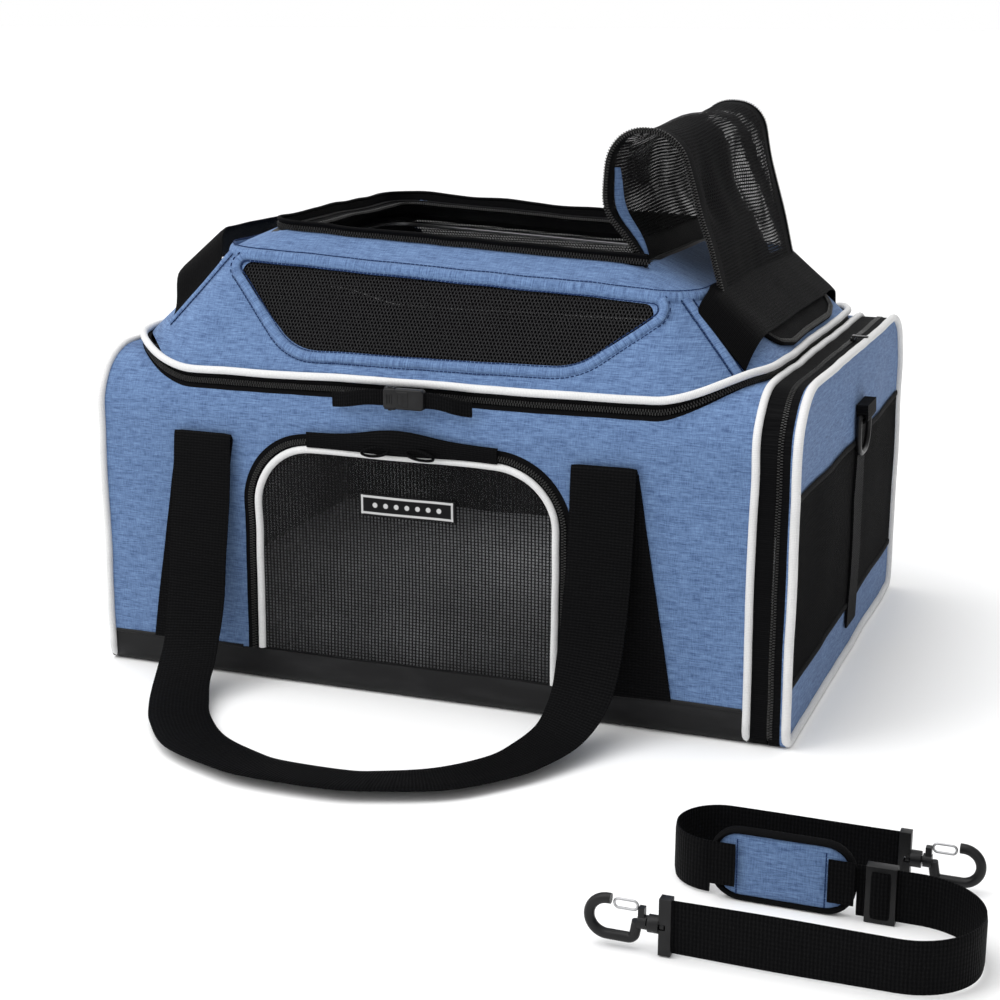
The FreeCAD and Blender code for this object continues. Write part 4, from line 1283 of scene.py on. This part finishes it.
def make_buckle():
    low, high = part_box("buckle_socket")
    face_y = low.y
    middle = (low + high) / 2
    half = (high.z - low.z) / 2
    waist = half - 0.0014
    x = low.x
    right = [(x, half - 0.001), (x + 0.0015, half), (x + 0.0075, half), (x + 0.0088, waist), (high.x, waist)]
    plate("buckle_socket_shell", "carrier", right, middle.z, low.y, high.y, "buckle_socket")
    low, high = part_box("buckle_plug")
    right = [(low.x, half), (high.x - 0.0015, half), (high.x, half - 0.0012)]
    plate("buckle_plug_body", "buckle_plug", right, middle.z, low.y + 0.0004, high.y, "buckle_plug")
    prongs, ridges = Form(), Form()
    for way in (-1, 1):
        for back, tall in ((0.0056, 0.0017), (0.0034, 0.0023), (0.0012, 0.0019)):
            seat = Vector((low.x - back, middle.y, middle.z + way * (waist + tall / 2 + 0.0001)))
            prongs.block(seat, RIGHT, UP * way, 0.0024, 0.0042, tall)
    for x in (low.x + 0.0022, low.x + 0.0046):
        prongs.block(Vector((x, low.y + 0.0002, middle.z)), UP, FRONT, 0.0088, 0.0009, 0.0007)
    prongs.piece("buckle_prongs", "buckle_plug", black_plastic, "plastic_black")
    for x in (-0.0195, -0.0180, -0.0165):
        ridges.block(Vector((x, face_y, middle.z)), UP, FRONT, 0.0075, 0.0007, 0.0006)
    ridges.block(Vector((-0.0105, face_y, middle.z)), UP, FRONT, 0.006, 0.0036, 0.0005)
    ridges.piece("buckle_ridges", "carrier", black_plastic, "plastic_black")
    buckle_tail("buckle_strap_left", "carrier", -1)
    buckle_tail("buckle_strap_right", "buckle_plug", 1)


def buckle_tail(node, body, way):
    """Short webbing from the buckle, bowed and drooping towards its sewn end."""
    low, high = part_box(node)
    y = (low.y + high.y) / 2 if way > 0 else low.y + 0.0006
    start, end = (low.x, high.x)[::way]
    half = 0.0045
    rows = []
    for k in range(15):
        share = k / 14
        x = start + (end - start) * share
        drop = 0.0036 * near(share, 0.2, 1.0)
        bow = y - 0.0010 * math.sin(share * math.pi) + 0.0022 * near(share, 0.55, 1.0)
        rows.append([Vector((x, bow, buckle_z - drop + dz)) for dz in (half, -half)])
    form = Form()
    form.band(rows, 0.0013, 6)
    form.piece(node + "_webbing", body, web_laid, "webbing_black", (node,), smooth_form)


# ---- shoulder strap ---------------------------------------------------------------------------------
def strap_run(corners, bend, part):
    """One run of strap webbing, standing on its edge."""
    line = rounded_path([Vector((x, y, 0)) for x, y in corners], [0, bend, bend, 0], False, 0.003)
    rows = []
    for p in line:
        lean = noise.noise(p / 0.06) * 0.0010
        rows.append((Vector((p.x, p.y + lean, strap_low)), Vector((p.x, p.y - lean, strap_high))))
    form = Form()
    form.band(rows, 0.0016)
    node = "strap_webbing_" + part
    form.piece("strap_" + part + "_webbing", "shoulder_strap", web_laid, "webbing_black", (node,), smooth_form)


def make_strap():
    strap_run([(0.222, -0.414), (0.350, -0.414), (0.350, -0.350), (0.290, -0.350)], 0.0319, "long")
    strap_run([(0.222, -0.350), (0.201, -0.350), (0.201, -0.308), (0.302, -0.308)], 0.0209, "short")
    moulded("adjuster_frame", "strap_adjuster", "strap_adjuster", black_plastic, 0.0007)
    low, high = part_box("strap_adjuster")
    over = Form()
    rows = []
    for k in range(9):
        v = k / 8 * 2 - 1
        x = (low.x + high.x) / 2 + v * 0.0042
        y = low.y - 0.0008 * (1 - v**4) + 0.0004
        rows.append([Vector((x, y, z)) for z in (strap_low + 0.0012, strap_high - 0.0012)])
    over.band(rows, 0.0013, 6)
    over.piece("adjuster_webbing", "strap_adjuster", web_laid, "webbing_black")
    moulded("hook_eyes", "strap_hook_eyes", "shoulder_strap", black_plastic, 0.0007)
    for side in ("front", "back"):
        assign("strap_hook_" + side, black_plastic)
        node = "strap_gate_" + side
        low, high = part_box(node)
        centre = (low + high) / 2
        half_x, half_z = (high.x - low.x) / 2 - 0.0002, (high.z - low.z) / 2 - 0.0006
        corners = [Vector((centre.x + a * half_x, centre.y, centre.z + b * half_z)) for a, b in CORNERS]
        gate = Form()
        gate.sweep(rounded_path(corners, [half_z * 0.9] * 4, True, 0.0008), BACK, 0.0006, 0.0006, True, 8)
        gate.piece("hook_gate_" + side, node, wire, "spring_wire", (node,))
    shoulder_pad()


def shoulder_pad():
    """Padded sleeve with rounded ends, webbing sewn over both ends, rows of stitches and a bound edge."""
    low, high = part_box("strap_pad")
    centre = (low + high) / 2
    rim = 0.0016
    half_x, half_z = (high.x - low.x) / 2 - rim, (high.z - low.z) / 2 - rim
    outline = [Vector((centre.x + a * half_x, 0, centre.z + b * half_z)) for a, b in CORNERS]
    loop = rounded_path(outline, [0.0125] * 4, True, 0.003)
    mesh = prism("shoulder_pad", loop, low.y + rim, high.y - rim)
    kind = ([blue_front], "fabric_blue")
    pad = inflated(mesh, "shoulder_pad", "strap_pad", "shoulder_strap", *kind, 0.0024, 0.0021, 3.0)
    edge, patch, thread = Form(), Form(), Form()
    middle = [Vector((p.x, centre.y, p.z)) for p in loop]
    edge.sweep(middle, FRONT, rim, (high.y - low.y) / 2 - 0.0006, True, 12)
    edge.piece("pad_edge_binding", "shoulder_strap", tape_laid, "webbing_black")
    for way in (-1, 1):
        x = centre.x + way * (half_x - 0.0045)
        strip = [
            [Vector((x + way * t, low.y - 0.0004, centre.z + dz)) for dz in (-0.0105, 0.0105)]
            for t in (-0.0065, -0.003, 0.0, 0.003, 0.0055)
        ]
        patch.band(strip, 0.0012, 6)
        x = centre.x + way * (half_x - 0.012)
        ends = [Vector((x, low.y - 0.0010, centre.z + k * (half_z - 0.004))) for k in (-1, 1)]
        thread.stitches(resampled(ends, stitch_pitch), FRONT)
    patch.piece("pad_webbing_ends", "shoulder_strap", web_laid, "webbing_black")
    thread.piece("pad_stitches", "shoulder_strap", blue_thread, "fabric_blue")


def solid_mesh(name, node):
    bm = cad_copy(node)
    bmesh.ops.triangulate(bm, faces=bm.faces)
    return mesh_of(bm, name)


def inflated(mesh, name, node, body, materials, slot, voxel, cap, pressure):
    """Padded piece: a closed mesh swollen by cloth simulation, with its moves capped."""
    obj = finished(mesh, name, body, materials, (node,), 180)
    remesh = obj.modifiers.new("remesh", "REMESH")
    remesh.mode = "VOXEL"
    remesh.voxel_size = voxel
    apply_modifiers(obj)
    start = [v.co.copy() for v in obj.data.vertices]
    cloth = obj.modifiers.new("cloth", "CLOTH")
    cloth.settings.use_pressure = True
    cloth.settings.uniform_pressure_force = pressure
    cloth.settings.effector_weights.gravity = 0.0
    cloth.collision_settings.use_collision = False
    for number in range(1, 21):
        bpy.context.scene.frame_set(number)
    apply_modifiers(obj)
    bpy.context.scene.frame_set(1)
    for vert, before in zip(obj.data.vertices, start):
        step = vert.co - before
        if step.length > cap:
            vert.co = before + step.normalized() * cap
    smooth = obj.modifiers.new("finish", "SUBSURF")
    smooth.levels = smooth.render_levels = 1
    apply_modifiers(obj)
    obj.data.shade_smooth()
    return obj


# ---- stage ------------------------------------------------------------------------------------------
def aimed(name, data, way):
    """A lamp or camera that looks along a direction."""
    obj = linked(name, data)
    obj.rotation_euler = way.to_track_quat("-Z", "Y").to_euler()
    return obj


def make_stage():
    """Pale floor, soft studio light darker on the right, and the camera."""
    span = 40.0
    mesh = bpy.data.meshes.new("floor")
    mesh.from_pydata([(a * span, b * span, 0) for a, b in CORNERS], [], [(0, 1, 2, 3)])
    s = Shader("pale_floor", "xy")
    patch = s.streaks(1.5, 1.5)
    s.dress((patch, (0.95, 0.95), (0.97, 0.97)), (patch, 0.7, 0.8))
    mesh.materials.append(s.material)
    floor = linked("floor", mesh)
    world = bpy.data.worlds.new("studio")
    world.use_nodes = True
    tree = world.node_tree
    sky = tree.nodes["Background"]
    split = tree.nodes.new("ShaderNodeSeparateXYZ")
    fade = tree.nodes.new("ShaderNodeMapRange")
    for socket, value in (("From Min", 0.25), ("From Max", 0.85), ("To Min", 1.0), ("To Max", 0.3)):
        fade.inputs[socket].default_value = value
    tree.links.new(tree.nodes.new("ShaderNodeTexCoord").outputs["Generated"], split.inputs[0])
    tree.links.new(split.outputs[0], fade.inputs["Value"])
    tree.links.new(fade.outputs[0], sky.inputs["Strength"])
    sky.inputs["Color"].default_value = (1, 1, 1, 1)
    scene = bpy.context.scene
    scene.world = world
    for name, place, size, power in (
        ("key", (-1.4, -1.5, 1.7), 1.2, 15.0),
        ("fill", (1.5, -1.5, 0.8), 1.6, 1.5),
        ("top", (-0.3, -0.2, 2.1), 1.4, 9.0),
    ):
        light = bpy.data.lights.new(name, "AREA")
        light.size, light.energy = size, power
        aimed(name, light, Vector((0.0, 0.0, 0.12)) - Vector(place)).location = place
    sun = bpy.data.lights.new("soft_sun", "SUN")
    sun.energy, sun.angle = 0.75, math.radians(50)
    aimed("soft_sun", sun, Vector((0.28, 0.22, -1.0)))
    camera = bpy.data.cameras.new("camera")
    camera.lens, camera.sensor_width = 67.63, 36.0
    eye, target = Vector((0.4164, -1.1313, 0.3971)), Vector((-0.01382, -0.00526, 0.08339))
    viewer = aimed("camera", camera, target - eye)
    viewer.location = eye
    scene.camera = viewer
    scene.view_settings.view_transform = "Standard"


make_stage()
make_body()
dome = lid_tree()
make_lid(dome)
make_flap(dome)
make_front_door()
make_end_door()
make_handle("front_handle", -1)
make_handle("back_handle", 1)
make_buckle()
make_strap()
for slider in ("lid_slider_left", "lid_slider_right", "top_slider_front", "top_slider_back"):
    moulded(slider + "_body", slider, slider, black_enamel, 0.0003)
mat_mesh = solid_mesh("padded_mat", "base_mat")
mat = inflated(mat_mesh, "padded_mat", "base_mat", "carrier", [fleece], "mat_plush", 0.006, 0.004, 2.0)

bpy.context.view_layer.update()
